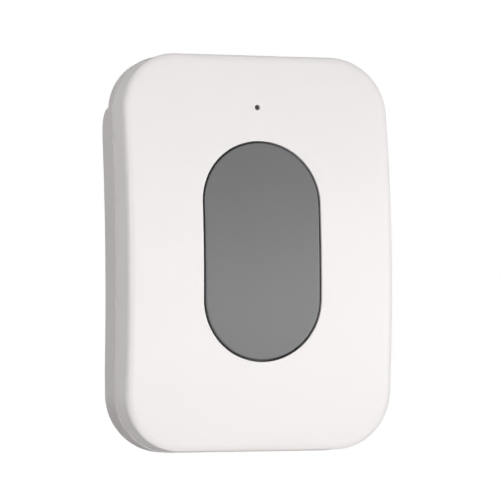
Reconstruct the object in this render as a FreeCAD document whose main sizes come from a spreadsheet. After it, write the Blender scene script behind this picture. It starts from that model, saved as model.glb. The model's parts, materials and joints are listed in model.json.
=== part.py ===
import FreeCAD, Part
import math
import os
import types

import Sketcher

# A wireless panic button for a wall: a bowed two-piece case with a long grey key, a status light
# behind a pinhole, and a coin cell, a circuit board and a push switch inside.
# The back rests on the wall plane y = 0. X points right and Z up as seen from the front, and the
# front faces -Y.

# Each driving size: its name, its value in millimetres (or degrees), and what it is.
DRIVING_SIZES = [
    ("case_width", 53.2, "rear cover across its sides, at the parting line"),
    ("case_height", 75.2, "rear cover from bottom to top, at the parting line"),
    ("case_corner", 11.2, "radius of the case's four corners, at the parting line"),
    ("front_depth", 7.55, "front's highest point to the parting line at mid height"),
    ("front_bow", 170.0, "radius of the bowed front face"),
    ("parting_bow", 210.0, "radius of the bowed parting line"),
    ("back_hollow", 1.2, "how far the back is hollowed at mid height"),
    ("side_draft", 1.0, "draft of the side walls each way from the parting line, in degrees"),
    ("ledge", 0.25, "how far the rear cover stands out past the front cover"),
    ("front_round", 1.5, "rounding of the front face's rim"),
    ("side_wall", 2.2, "thickness of both covers' side walls"),
    ("front_wall", 1.8, "thickness of the front face"),
    ("back_wall", 1.6, "thickness of the back face"),
    ("shoulder_height", 27.6, "mid height up to where the rear cover steps in"),
    ("shoulder_flat", 0.15, "what the shoulder's rounding leaves of its step"),
    ("shoulder_land", 1.5, "flat land between the hollow back and the shoulder's rounding"),
    ("thin_depth", 2.9, "rear cover's depth behind the parting line, above the shoulder"),
    ("land_width", 30.0, "flat land on the hollow back, across"),
    ("land_height", 36.0, "flat land on the hollow back, up"),
    ("land_corner", 4.0, "corner radius of that land"),
    ("lip_height", 1.5, "rear cover's lip, forward of the parting line"),
    ("lip_skin", 1.0, "front cover's wall outside the lip"),
    ("lip_gap", 0.1, "clearance round the lip"),
    ("gasket_thickness", 0.8, "sealing ring in front of the lip"),
    ("gasket_width", 0.7, "sealing ring, from its inner to its outer face"),
    ("gasket_gap", 0.05, "clearance round the sealing ring"),
    ("key_width", 22.5, "grey key, across"),
    ("key_height", 40.7, "grey key, from bottom to top"),
    ("key_gap", 0.4, "gap between the key and its opening"),
    ("key_round", 0.45, "rounding of the key's front rim"),
    ("opening_round", 0.2, "rounding of the opening's front edge"),
    ("key_roof", 2.15, "thickness of the key's front at its middle"),
    ("key_wall", 1.6, "thickness of the key's side wall"),
    ("key_flange", 1.2, "how far the key's flange reaches past the key"),
    ("key_flange_edge", 0.9, "least thickness of that flange"),
    ("key_clearance", 0.15, "key flange to the cover that holds it in"),
    ("key_travel", 0.6, "how far the key can be pressed"),
    ("stop_gap", 0.05, "what is left between key and carrier when fully pressed"),
    ("light_height", 27.2, "mid height up to the pinhole for the light"),
    ("light_hole", 1.05, "diameter of that pinhole"),
    ("light_round", 0.2, "rounding of the pinhole's mouth"),
    ("pipe_width", 2.8, "diameter of the light pipe's body"),
    ("pipe_length", 1.1, "length of the light pipe's body"),
    ("pipe_pin", 0.85, "diameter of the light pipe's pin in the pinhole"),
    ("pipe_setback", 0.7, "front face to the light pipe's tip"),
    ("carrier_side_gap", 0.8, "carrier to the board's bosses"),
    ("carrier_height", 50.0, "carrier behind the key, from bottom to top"),
    ("carrier_notch_gap", 0.5, "carrier to the light pipe's guide"),
    ("carrier_corner", 4.0, "corner radius of the carrier"),
    ("carrier_thickness", 1.2, "thickness of the carrier"),
    ("carrier_window", 9.4, "square window in the carrier, round the switch"),
    ("window_corner", 1.0, "corner radius of that window"),
    ("stake_inset", 2.3, "carrier's edges to the middle of the heat stakes that hold it"),
    ("stake_post", 3.6, "diameter of a stake's post in front of the carrier"),
    ("stake_pin", 1.8, "diameter of a stake through the carrier"),
    ("stake_head", 2.6, "diameter of a stake's melted head"),
    ("stake_head_height", 0.3, "height of a stake's melted head"),
    ("pin_clearance", 0.1, "clearance round pins and screws in their holes"),
    ("board_side_gap", 2.65, "circuit board's sides to the front cover's inside"),
    ("board_end_gap", 4.15, "circuit board's ends to the front cover's inside"),
    ("board_corner", 2.0, "corner radius of the circuit board"),
    ("board_thickness", 1.2, "thickness of the circuit board"),
    ("board_gap", 0.45, "carrier to circuit board"),
    ("case_screw_side", 7.8, "case's sides to the screws that close it"),
    ("case_screw_end", 7.3, "case's ends to those screws"),
    ("case_boss", 5.2, "diameter of the bosses for those screws"),
    ("boss_gap", 0.1, "clearance between the covers' bosses"),
    ("notch_clearance", 0.5, "board edge to those bosses"),
    ("screw_shank", 2.2, "diameter of a case screw"),
    ("screw_length", 6.5, "length of a case screw under its head"),
    ("screw_head", 4.0, "diameter of a case screw's head"),
    ("screw_head_height", 1.4, "height of a case screw's head"),
    ("pilot_gap", 0.02, "clearance round a screw in its pilot hole, where its thread runs"),
    ("screw_point", 1.2, "length of a screw's tapered point"),
    ("screw_tip", 0.5, "width of the flat end of that point"),
    ("head_round", 0.4, "rounding of a screw's head"),
    ("head_boss_wall", 1.0, "rear cover's wall round a screw head"),
    ("tip_room", 0.3, "room past a screw's point"),
    ("screw_floor", 1.2, "rear cover under a case screw's head"),
    ("head_recess_gap", 0.3, "clearance round a screw head in its recess"),
    ("recess_width", 0.6, "width of the cross in a screw's head"),
    ("recess_length", 2.2, "length of the cross in a screw's head"),
    ("recess_depth", 0.7, "depth of the cross in a screw's head"),
    ("board_screw_side", 2.5, "board's sides to the two screws that hold it"),
    ("board_boss", 4.4, "diameter of the bosses for those screws"),
    ("board_screw_shank", 1.7, "diameter of a board screw"),
    ("board_screw_length", 3.6, "length of a board screw under its head"),
    ("board_screw_head", 3.2, "diameter of a board screw's head"),
    ("board_screw_head_height", 1.1, "height of a board screw's head"),
    ("board_recess_length", 1.7, "length of the cross in a board screw's head"),
    ("board_recess_depth", 0.55, "depth of the cross in a board screw's head"),
    ("switch_size", 6.0, "push switch, across and up"),
    ("switch_plate", 0.25, "thickness of the switch's metal plate"),
    ("switch_cavity", 4.6, "diameter of the switch's cavity"),
    ("switch_floor", 1.7, "thickness of the switch's floor"),
    ("dome_thickness", 0.1, "thickness of the switch's snap dome"),
    ("dome_foot", 0.4, "width of the snap dome's flat foot"),
    ("dome_crown", 1.8, "diameter of the snap dome's flat crown"),
    ("switch_top_gap", 0.2, "switch plate to key when fully pressed"),
    ("plunger_width", 3.4, "diameter of the switch's plunger"),
    ("plunger_flange_gap", 0.2, "clearance round the plunger's flange in the cavity"),
    ("plunger_flange_height", 0.6, "height of the plunger's flange"),
    ("plunger_gap", 0.03, "plunger tip to key, and flange to plate"),
    ("plunger_fit", 0.15, "clearance round the plunger in its plate"),
    ("spring_offset", 13.4, "return springs, above and below mid height"),
    ("spring_width", 4.0, "outer diameter of a return spring"),
    ("spring_wire", 0.4, "wire diameter of a return spring"),
    ("spring_turns", 3.5, "turns of a return spring"),
    ("spring_end_gap", 0.03, "spring to its seats at rest"),
    ("spring_pin", 2.4, "diameter of the pins inside the springs"),
    ("spring_pin_height", 0.9, "height of the pins inside the springs"),
    ("cell_width", 24.5, "coin cell's diameter"),
    ("cell_thickness", 5.0, "coin cell's thickness"),
    ("cell_height", -6.5, "mid height up to the coin cell's centre"),
    ("cell_step", 0.5, "step in from the cell's can to its lid"),
    ("cell_lid", 0.6, "height of the cell's lid"),
    ("cell_clearance", 0.2, "coin cell to its holder"),
    ("cell_room", 0.4, "coin cell's back to the inside of the hollow back"),
    ("holder_wall", 1.1, "thickness of the coin cell holder's ring"),
    ("holder_floor", 0.3, "thickness of the coin cell holder's floor"),
    ("holder_rise", 3.4, "height of the coin cell holder"),
    ("holder_window", 15.0, "opening in the coin cell holder's floor"),
    ("contact_thickness", 0.2, "thickness of the cell's spring contacts"),
    ("contact_width", 5.0, "width of the cell's spring contacts"),
    ("contact_reach", 7.0, "how far the positive contact reaches over the cell"),
    ("contact_foot", 2.6, "length of the positive contact's foot on the board"),
    ("shield_width", 14.0, "radio's shield, across"),
    ("shield_height", 9.0, "radio's shield, up"),
    ("shield_depth", 2.0, "radio's shield, off the board"),
    ("shield_sheet", 0.2, "thickness of the radio shield's sheet"),
    ("shield_across", 9.0, "middle of the case to the radio shield's middle"),
    ("shield_gap", 2.2, "radio's shield to the antenna coil above it"),
    ("chip_width", 5.0, "radio chip under the shield"),
    ("chip_depth", 0.9, "radio chip's thickness"),
    ("controller_width", 7.0, "controller chip, across and up"),
    ("controller_depth", 1.0, "controller chip's thickness"),
    ("controller_across", -8.5, "middle of the case to the controller's middle"),
    ("crystal_width", 6.0, "crystal can, up"),
    ("crystal_thickness", 2.2, "crystal can, across and off the board"),
    ("crystal_inset", 4.3, "board's left side to the crystal's middle"),
    ("antenna_turns", 11.0, "turns of the antenna coil"),
    ("antenna_width", 2.4, "outer diameter of the antenna coil"),
    ("antenna_wire", 0.5, "wire diameter of the antenna coil"),
    ("antenna_length", 17.0, "length of the antenna coil"),
    ("antenna_gap", 0.4, "antenna coil to the inside of the shoulder above it"),
    ("capacitor_length", 2.0, "a capacitor, across"),
    ("capacitor_width", 1.25, "a capacitor, up and off the board"),
    ("capacitor_pitch", 4.2, "one capacitor to the next"),
    ("capacitor_inset", 5.4, "board's lower end up to the row of capacitors"),
    ("resistor_length", 1.6, "a resistor, up"),
    ("resistor_width", 0.8, "a resistor, across"),
    ("resistor_depth", 0.45, "a resistor, off the board"),
    ("resistor_pitch", 2.6, "one resistor to the next"),
    ("resistor_inset", 3.6, "board's lower end up to the row of resistors"),
    ("led_length", 2.0, "status light, across"),
    ("led_width", 1.25, "status light, up"),
    ("led_base", 0.5, "height of the status light's base"),
    ("led_lens", 0.35, "height of the status light's lens"),
    ("pipe_gap", 0.3, "status light to the light pipe"),
    ("pipe_seat", 0.05, "light pipe to the inside of the front"),
    ("pipe_guide_wall", 0.7, "wall of the guide round the light pipe"),
    ("pipe_guide_depth", 1.0, "height of the guide round the light pipe"),
]

SHEET = "sizes"
CAPACITOR_COUNT = 4
RESISTOR_COUNT = 4
# How far a cutting or trimming solid runs past what it cuts.
PAST = 2.0


class Size:
    """A number together with the spreadsheet expression that it comes from."""

    def __init__(self, text, value):
        self.text = text
        self.value = value

    def __add__(self, other):
        return combine(self, "+", other)

    def __radd__(self, other):
        return combine(other, "+", self)

    def __sub__(self, other):
        return combine(self, "-", other)

    def __rsub__(self, other):
        return combine(other, "-", self)

    def __mul__(self, other):
        return combine(self, "*", other)

    def __rmul__(self, other):
        return combine(other, "*", self)

    def __truediv__(self, other):
        return combine(self, "/", other)

    def __neg__(self):
        return combine(0.0, "-", self)


def as_size(number):
    if isinstance(number, Size):
        return number
    return Size(f"({number})", float(number))


def combine(left, sign, right):
    left = as_size(left)
    right = as_size(right)
    if sign == "+":
        value = left.value + right.value
    elif sign == "-":
        value = left.value - right.value
    elif sign == "*":
        value = left.value * right.value
    else:
        value = left.value / right.value
    return Size(f"({left.text} {sign} {right.text})", value)


def root(size):
    return Size(f"sqrt({size.text})", math.sqrt(size.value))


def tangent(angle):
    return Size(f"tan({angle.text} * 1 deg)", math.tan(math.radians(angle.value)))


def sagitta(radius, half_chord):
    """How far an arc of this radius has fallen away, half a chord from its highest point."""
    return radius - root(radius * radius - half_chord * half_chord)


def make_sheet(doc):
    """Writes the driving sizes into the spreadsheet and returns them as named sizes."""
    sheet = doc.addObject("Spreadsheet::Sheet", SHEET)
    named = types.SimpleNamespace()
    for row, (alias, value, meaning) in enumerate(DRIVING_SIZES, start=1):
        sheet.set(f"A{row}", meaning)
        sheet.set(f"B{row}", str(value))
        sheet.setAlias(f"B{row}", alias)
        setattr(named, alias, Size(f"<<{SHEET}>>.{alias}", value))
    doc.recompute()
    return named


def bind(thing, name, size):
    thing.setExpression(name, as_size(size).text)


def place(thing, x=0.0, y=0.0, z=0.0):
    """Ties a piece's place to the sizes."""
    for axis, size in zip("xyz", (x, y, z)):
        bind(thing, f"Placement.Base.{axis}", size)
    return thing


def new_body(doc, name):
    body = doc.addObject("PartDesign::Body", name)
    body.Label = name
    return body


def new_sketch(body, role, name, height=0.0):
    """A sketch on one of the body's own planes, raised along that plane's normal."""
    sketch = body.newObject("Sketcher::SketchObject", name)
    plane = next(each for each in body.Origin.OriginFeatures if each.Role == role)
    sketch.AttachmentSupport = [(plane, "")]
    sketch.MapMode = "FlatFace"
    bind(sketch, "AttachmentOffset.Base.z", height)
    return sketch


def fix(sketch, kind, name, size, *where):
    """Adds one dimension to a sketch and ties it to a size."""
    dimension = Sketcher.Constraint(kind, *where, as_size(size).value)
    dimension.Name = name
    sketch.addConstraint(dimension)
    bind(sketch, f"Constraints.{name}", size)


def arc_between(start, end, radius, side):
    """The short arc from start to end, with its centre on the left (1) or right (-1) of that way."""
    middle = (start + end) / 2
    along = (end - start).normalize()
    left = FreeCAD.Vector(-along.y, along.x, 0)
    reach = math.sqrt(max(radius**2 - (end - start).Length ** 2 / 4, 0.0))
    centre = middle + left * side * reach
    first, last = (start, end) if side > 0 else (end, start)
    angles = [math.atan2(point.y - centre.y, point.x - centre.x) for point in (first, last)]
    circle = Part.Circle(centre, FreeCAD.Vector(0, 0, 1), radius)
    return Part.ArcOfCircle(circle, angles[0], angles[1])


def draw_loop(sketch, corners):
    """A closed outline through the corners: (x, y), or (x, y, radius, side) where an arc follows."""
    points = [FreeCAD.Vector(as_size(c[0]).value, as_size(c[1]).value, 0) for c in corners]
    sides = []
    for number, corner in enumerate(corners):
        start = points[number]
        end = points[(number + 1) % len(points)]
        if len(corner) == 4:
            curve = arc_between(start, end, corner[2].value, corner[3])
            ends = (1, 2) if corner[3] > 0 else (2, 1)
        else:
            curve = Part.LineSegment(start, end)
            ends = (1, 2)
        sides.append((sketch.addGeometry(curve, False), ends))
    for number, (index, ends) in enumerate(sides):
        following, following_ends = sides[(number + 1) % len(sides)]
        joined = Sketcher.Constraint("Coincident", index, ends[1], following, following_ends[0])
        sketch.addConstraint(joined)
        corner = corners[number]
        fix(sketch, "DistanceX", f"across_{index}", corner[0], -1, 1, index, ends[0])
        fix(sketch, "DistanceY", f"up_{index}", corner[1], -1, 1, index, ends[0])
        if len(corner) == 4:
            fix(sketch, "Radius", f"radius_{index}", corner[2], index)


def draw_circle(sketch, x, y, radius):
    centre = FreeCAD.Vector(as_size(x).value, as_size(y).value, 0)
    circle = Part.Circle(centre, FreeCAD.Vector(0, 0, 1), as_size(radius).value)
    index = sketch.addGeometry(circle, False)
    fix(sketch, "DistanceX", f"across_{index}", x, -1, 1, index, 3)
    fix(sketch, "DistanceY", f"up_{index}", y, -1, 1, index, 3)
    fix(sketch, "Radius", f"radius_{index}", radius, index)


def rounded(half_width, half_height, corner, x=0.0, z=0.0):
    """The corners of a rectangle with round corners."""
    left, right = x - half_width, x + half_width
    low, high = z - half_height, z + half_height
    return [
        (left + corner, low),
        (right - corner, low, corner, 1),
        (right, low + corner),
        (right, high - corner, corner, 1),
        (right - corner, high),
        (left + corner, high, corner, 1),
        (left, high - corner),
        (left, low + corner, corner, 1),
    ]


def stadium(half_width, half_height):
    """The corners of an outline with two straight sides and two half-round ends."""
    straight = half_height - half_width
    return [
        (half_width, -straight),
        (half_width, straight, half_width, 1),
        (0.0, half_height, half_width, 1),
        (-half_width, straight),
        (-half_width, -straight, half_width, 1),
        (0.0, -half_height, half_width, 1),
    ]


def pad(body, sketch, length, towards_back=False, both_ways=False, draft=None):
    """Thickens a sketch, towards the front unless told otherwise."""
    feature = body.newObject("PartDesign::Pad", f"{sketch.Name}_pad")
    feature.Profile = sketch
    bind(feature, "Length", length)
    feature.Reversed = towards_back
    feature.SideType = "Symmetric" if both_ways else "One side"
    if draft is not None:
        bind(feature, "TaperAngle", -draft)
    sketch.Visibility = False
    return feature


def cut_through(body, sketch):
    """Cuts a sketch right through the body, both ways."""
    feature = body.newObject("PartDesign::Pocket", f"{sketch.Name}_cut")
    feature.Profile = sketch
    feature.Type = "ThroughAll"
    feature.SideType = "Symmetric"
    return feature


def bowed_side(surface, reach):
    """Two corners of a side view, up along a surface: (y at mid height, bow radius or None if flat)."""
    depth, bow = surface
    if bow is None:
        return [(depth, -reach), (depth, reach)]
    edge = depth + sagitta(bow, reach)
    return [(edge, -reach, bow, -1), (edge, reach)]


def trim_to_side(body, profile, outline_reach, depths):
    """Cuts away all that lies outside a side view, drawn in the YZ plane."""
    front, back = depths
    sketch = new_sketch(body, "YZ_Plane", f"{body.Name}_side")
    frame = outline_reach + PAST
    draw_loop(sketch, [(front, -frame), (back, -frame), (back, frame), (front, frame)])
    draw_loop(sketch, profile)
    return cut_through(body, sketch)


def bowed_prism(doc, name, outline, reach, front, back):
    """A solid with this outline seen from the front, between two surfaces that are bowed or flat."""
    body = new_body(doc, name)
    side_reach = reach + PAST / 2
    front_side = bowed_side(front, side_reach)
    back_side = bowed_side(back, side_reach)
    nearest = front[0] - PAST
    farthest = back_side[0][0] + PAST
    plan = new_sketch(body, "XZ_Plane", f"{name}_plan", -(farthest - PAST / 2))
    draw_loop(plan, outline)
    pad(body, plan, farthest - nearest - PAST)
    # Down the front surface and up the back one.
    downward = [(front_side[1][0], side_reach)]
    if len(front_side[0]) == 4:
        downward = [(front_side[1][0], side_reach, front[1], 1)]
    profile = downward + [front_side[0][:2]] + back_side
    trim_to_side(body, profile, reach, (nearest - PAST, farthest + PAST))
    return body


def join(doc, name, kind, pieces):
    """Joins solids ("MultiFuse") or keeps what they share ("MultiCommon")."""
    result = doc.addObject(f"Part::{kind}", name)
    result.Shapes = pieces
    result.Refine = True
    return result


def cut(doc, name, base, tool):
    result = doc.addObject("Part::Cut", name)
    result.Base = base
    result.Tool = tool
    result.Refine = True
    return result


def rod(doc, name, width, front, back, x=0.0, z=0.0):
    """A round rod along Y, from its front end to its back end."""
    result = doc.addObject("Part::Cylinder", name)
    bind(result, "Radius", width / 2)
    bind(result, "Height", back - front)
    result.Placement.Rotation = FreeCAD.Rotation(FreeCAD.Vector(1, 0, 0), -90)
    return place(result, x, front, z)


def block(doc, name, width, depth, height, x, front, z):
    """A block with its middle at x and z, and its front face at y = front."""
    result = doc.addObject("Part::Box", name)
    bind(result, "Length", width)
    bind(result, "Width", depth)
    bind(result, "Height", height)
    return place(result, x - width / 2, front, z - height / 2)


def round_edges(body, base, name, radius, chosen):
    """Rounds the edges of a feature that the test picks."""
    names = [f"Edge{n}" for n, edge in enumerate(base.Shape.Edges, start=1) if chosen(edge)]
    feature = body.newObject("PartDesign::Fillet", name)
    feature.Base = (base, names)
    bind(feature, "Radius", radius)
    return feature


def corners_of(x, z):
    """The four points this far from the middle, from the lower left."""
    return [(side * x, end * z) for end in (-1, 1) for side in (-1, 1)]


def work_out(s):
    """Adds the places and sizes that follow from the driving ones."""
    s.slope = tangent(s.side_draft)
    s.inner_bow = s.front_bow - s.front_wall
    s.flange_bow = s.inner_bow - s.key_clearance
    s.flange_half_width = s.key_width / 2 + s.key_flange
    s.flange_half_height = s.key_height / 2 + s.key_flange
    # The case is as deep as what it holds, one behind the other.
    key_depth = s.key_clearance + sagitta(s.flange_bow, s.flange_half_height) + s.key_flange_edge
    press_depth = s.key_travel + s.stop_gap + s.carrier_thickness
    board_depth = s.board_gap + s.board_thickness
    cell_depth = s.holder_floor + s.contact_thickness + s.cell_thickness + s.cell_room
    back_depth = s.back_wall + s.back_hollow
    s.case_depth = s.front_wall + key_depth + press_depth + board_depth + cell_depth + back_depth
    s.front_y = -s.case_depth
    s.parting_y = s.front_depth - s.case_depth
    s.inner_y = s.front_y + s.front_wall
    s.rear_half_width = s.case_width / 2
    s.rear_half_height = s.case_height / 2
    s.front_half_width = s.rear_half_width - s.ledge
    s.front_half_height = s.rear_half_height - s.ledge
    s.front_corner = s.case_corner - s.ledge
    s.key_half_width = s.key_width / 2
    s.key_half_height = s.key_height / 2
    s.flange_y = s.inner_y + s.key_clearance
    s.key_back_y = s.inner_y + key_depth
    s.key_roof_y = s.front_y + s.key_roof
    s.carrier_back_y = s.key_back_y + press_depth
    s.carrier_front_y = s.carrier_back_y - s.carrier_thickness
    s.board_back_y = s.carrier_back_y + board_depth
    s.board_front_y = s.board_back_y - s.board_thickness
    s.board_half_width = s.front_half_width - s.side_wall - s.board_side_gap
    s.board_half_height = s.front_half_height - s.side_wall - s.board_end_gap
    s.board_screw_x = s.board_half_width - s.board_screw_side
    s.carrier_half_width = s.board_screw_x - s.board_boss / 2 - s.carrier_side_gap
    s.stake_x = s.carrier_half_width - s.stake_inset
    s.stake_z = s.carrier_height / 2 - s.stake_inset
    s.guide_width = s.pipe_width + (s.pin_clearance + s.pipe_guide_wall) * 2
    s.antenna_up = s.shoulder_height - s.back_wall - s.antenna_gap - s.antenna_width / 2
    s.radio_up = s.antenna_up - s.antenna_width / 2 - s.shield_gap - s.shield_height / 2
    s.plunger_tip_y = s.key_roof_y + s.plunger_gap
    s.plate_front_y = s.plunger_tip_y + s.key_travel + s.switch_top_gap
    s.plate_back_y = s.plate_front_y + s.switch_plate
    s.switch_floor_y = s.board_front_y - s.switch_floor
    s.plunger_flange_y = s.plate_back_y + s.plunger_gap
    s.plunger_back_y = s.plunger_flange_y + s.plunger_flange_height
    s.lip_half_width = s.front_half_width - s.lip_skin - s.lip_gap
    s.lip_half_height = s.front_half_height - s.lip_skin - s.lip_gap
    s.lip_corner = s.front_corner - s.lip_skin - s.lip_gap
    s.rebate_depth = s.lip_height + s.gasket_thickness + s.gasket_gap * 2
    s.case_screw_x = s.rear_half_width - s.case_screw_side
    s.case_screw_z = s.rear_half_height - s.case_screw_end
    s.boss_y = s.parting_y + sagitta(s.parting_bow, s.case_screw_z)
    s.screw_seat_y = s.boss_y + s.boss_gap + s.screw_floor
    s.screw_tip_y = s.screw_seat_y - s.screw_length
    s.board_tip_y = s.board_back_y - s.board_screw_length
    s.cell_front_y = s.board_back_y + s.holder_floor + s.contact_thickness
    s.cell_back_y = s.cell_front_y + s.cell_thickness
    s.holder_inside = s.cell_width + s.cell_clearance * 2
    s.holder_outside = s.holder_inside + s.holder_wall * 2
    s.lens_y = s.board_front_y - s.led_base - s.led_lens
    s.pipe_back_y = s.lens_y - s.pipe_gap
    s.pipe_front_y = s.pipe_back_y - s.pipe_length
    thin_y, thin_bow = behind_parting(s, s.thin_depth)
    s.shoulder_round = -thin_y - sagitta(thin_bow, s.shoulder_height) - s.shoulder_flat
    s.hollow_reach = s.shoulder_height - s.shoulder_round - s.shoulder_land
    hollow = s.back_hollow
    s.back_bow = (s.hollow_reach * s.hollow_reach + hollow * hollow) / (hollow * 2)


def behind_parting(s, depth):
    """The surface that lies this far behind the parting line all along."""
    return (s.parting_y + depth, s.parting_bow - depth)


def opening_outline(s):
    return stadium(s.key_half_width + s.key_gap, s.key_half_height + s.key_gap)


def inside_box(edge, half_width, low, high, deepest):
    """Whether an edge lies within this width and height, and in front of this depth."""
    box = edge.BoundBox
    within = -half_width < box.XMin and box.XMax < half_width and low < box.ZMin and box.ZMax < high
    return within and box.YMax < deepest


def front_blank(doc, s):
    """The front cover's outside, solid, with the key's opening and the pinhole cut through."""
    body = new_body(doc, "front_blank")
    plan = new_sketch(body, "XZ_Plane", "front_plan")
    spread = -s.parting_y * s.slope
    outline = rounded(s.front_half_width + spread, s.front_half_height + spread, s.front_corner + spread)
    draw_loop(plan, outline)
    pad(body, plan, s.case_depth + PAST, draft=s.side_draft)
    reach = s.rear_half_height + PAST
    face = s.front_y + sagitta(s.front_bow, reach)
    parting = s.parting_y + sagitta(s.parting_bow, reach)
    profile = [
        (face, reach, s.front_bow, 1),
        (face, -reach),
        (parting, -reach, s.parting_bow, -1),
        (parting, reach),
    ]
    trimmed = trim_to_side(body, profile, reach, (s.front_y - PAST * 2, as_size(PAST)))
    doc.recompute()
    deepest = (face.value + parting.value) / 2
    rim = round_edges(body, trimmed, "front_rim", s.front_round, lambda edge: edge.BoundBox.YMax < deepest)
    holes = new_sketch(body, "XZ_Plane", "front_openings")
    draw_loop(holes, opening_outline(s))
    draw_circle(holes, 0.0, s.light_height, s.light_hole / 2)
    opened = cut_through(body, holes)
    doc.recompute()
    half_height = s.key_half_height.value + s.key_gap.value + s.key_round.value
    half_width = s.key_half_width.value + s.key_gap.value + s.key_round.value

    def at_opening(edge):
        return inside_box(edge, half_width, -half_height, half_height, deepest)

    mouth = round_edges(body, opened, "opening_rim", s.opening_round, at_opening)
    doc.recompute()
    low = s.light_height.value - s.light_hole.value
    high = s.light_height.value + s.light_hole.value

    def at_pinhole(edge):
        return inside_box(edge, s.light_hole.value, low, high, deepest)

    round_edges(body, mouth, "pinhole_rim", s.light_round, at_pinhole)
    return body


def front_hollow(doc, s):
    """The space inside the front cover, with the rebate for the rear cover's lip."""
    wall = s.side_wall
    half_width = s.front_half_width - wall
    half_height = s.front_half_height - wall
    core_outline = rounded(half_width, half_height, s.front_corner - wall)
    reach = s.rear_half_height
    back = behind_parting(s, as_size(PAST))
    core = bowed_prism(doc, "front_core", core_outline, reach, (s.inner_y, s.inner_bow), back)
    skin = s.lip_skin
    outline = rounded(s.front_half_width - skin, s.front_half_height - skin, s.front_corner - skin)
    rebate = bowed_prism(doc, "front_rebate", outline, reach, behind_parting(s, -s.rebate_depth), back)
    return join(doc, "front_hollow", "MultiFuse", [core, rebate])


def front_bosses(doc, s):
    """Bosses for screws, stakes for the carrier and the light pipe's guide, grown from the front face."""
    rods = []
    for number, (x, z) in enumerate(corners_of(s.case_screw_x, s.case_screw_z), start=1):
        rods.append(rod(doc, f"case_boss_{number}", s.case_boss, s.front_y, s.boss_y, x, z))
    for number, side in enumerate((-1, 1), start=1):
        x = side * s.board_screw_x
        rods.append(rod(doc, f"board_boss_{number}", s.board_boss, s.front_y, s.board_front_y, x))
    for number, (x, z) in enumerate(corners_of(s.stake_x, s.stake_z), start=1):
        rods.append(rod(doc, f"stake_post_{number}", s.stake_post, s.front_y, s.carrier_front_y, x, z))
        rods.append(rod(doc, f"stake_pin_{number}", s.stake_pin, s.front_y, s.carrier_back_y, x, z))
        head_y = s.carrier_back_y + s.stake_head_height
        rods.append(rod(doc, f"stake_head_{number}", s.stake_head, s.carrier_back_y, head_y, x, z))
    guide_y = s.pipe_front_y + s.pipe_guide_depth
    rods.append(rod(doc, "pipe_guide", s.guide_width, s.front_y, guide_y, 0.0, s.light_height))
    return join(doc, "front_rods", "MultiFuse", rods)


def front_pilots(doc, s):
    """Pilot holes in the bosses, and the bore of the light pipe's guide with the pinhole before it."""
    holes = []
    width = s.screw_shank + s.pilot_gap * 2
    for number, (x, z) in enumerate(corners_of(s.case_screw_x, s.case_screw_z), start=1):
        start = s.screw_tip_y - s.tip_room
        holes.append(rod(doc, f"case_pilot_{number}", width, start, s.boss_y + PAST, x, z))
    width = s.board_screw_shank + s.pilot_gap * 2
    for number, side in enumerate((-1, 1), start=1):
        start = s.board_tip_y - s.tip_room
        x = side * s.board_screw_x
        holes.append(rod(doc, f"board_pilot_{number}", width, start, s.board_front_y + PAST, x))
    width = s.pipe_width + s.pin_clearance * 2
    start = s.pipe_front_y - s.pipe_seat
    holes.append(rod(doc, "pipe_bore", width, start, s.board_front_y, 0.0, s.light_height))
    holes.append(rod(doc, "pinhole_bore", s.light_hole, s.front_y, s.pipe_front_y, 0.0, s.light_height))
    return join(doc, "front_pilots", "MultiFuse", holes)


def front_boss_room(doc, s):
    """Where bosses may be: from half way into the front wall backwards."""
    inset = s.side_wall / 2
    half_width = s.front_half_width - inset
    half_height = s.front_half_height - inset
    outline = rounded(half_width, half_height, s.front_corner - inset)
    depth = s.front_wall / 2
    face = (s.front_y + depth, s.front_bow - depth)
    return bowed_prism(doc, "front_boss_room", outline, s.rear_half_height, face, (as_size(0.0), None))


def front_cover(doc, s):
    shell = cut(doc, "front_shell", front_blank(doc, s), front_hollow(doc, s))
    bosses = join(doc, "front_bosses", "MultiCommon", [front_bosses(doc, s), front_boss_room(doc, s)])
    solid = join(doc, "front_solid", "MultiFuse", [shell, bosses])
    return cut(doc, "front_cover", solid, front_pilots(doc, s))


def rear_profile(s, wall, front):
    """The rear cover's side view, or its hollow's where a wall is taken off.

    Its front side is given as (y at mid height, bow radius)."""
    reach = s.rear_half_height + PAST / 2
    thin_y, thin_bow = behind_parting(s, s.thin_depth - wall)
    hollow = s.back_hollow
    hollow_bow = s.back_bow + wall
    land_start = root(hollow_bow * hollow * 2 - hollow * hollow)
    step = s.shoulder_height - wall
    bend = s.shoulder_round - wall
    back = -as_size(wall)
    front_edge = front[0] + sagitta(front[1], reach)
    return [
        (front_edge, reach, front[1], 1),
        (front_edge, -reach),
        (back, -reach),
        (back, -land_start, hollow_bow, -1),
        (back, land_start),
        (back, step - bend, bend, 1),
        (back - bend, step),
        (thin_y + sagitta(thin_bow, step), step, thin_bow, -1),
        (thin_y + sagitta(thin_bow, reach), reach),
    ]


def rear_blank(doc, s):
    """The rear cover's outside, solid: a hollow back, and a shoulder where it steps in near the top."""
    body = new_body(doc, "rear_blank")
    plan = new_sketch(body, "XZ_Plane", "rear_plan", -s.parting_y)
    draw_loop(plan, rounded(s.rear_half_width, s.rear_half_height, s.case_corner))
    pad(body, plan, PAST - s.parting_y, towards_back=True, draft=s.side_draft)
    profile = rear_profile(s, 0.0, behind_parting(s, as_size(0.0)))
    trim_to_side(body, profile, s.rear_half_height, (s.parting_y - PAST, as_size(PAST * 2)))
    return body


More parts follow.
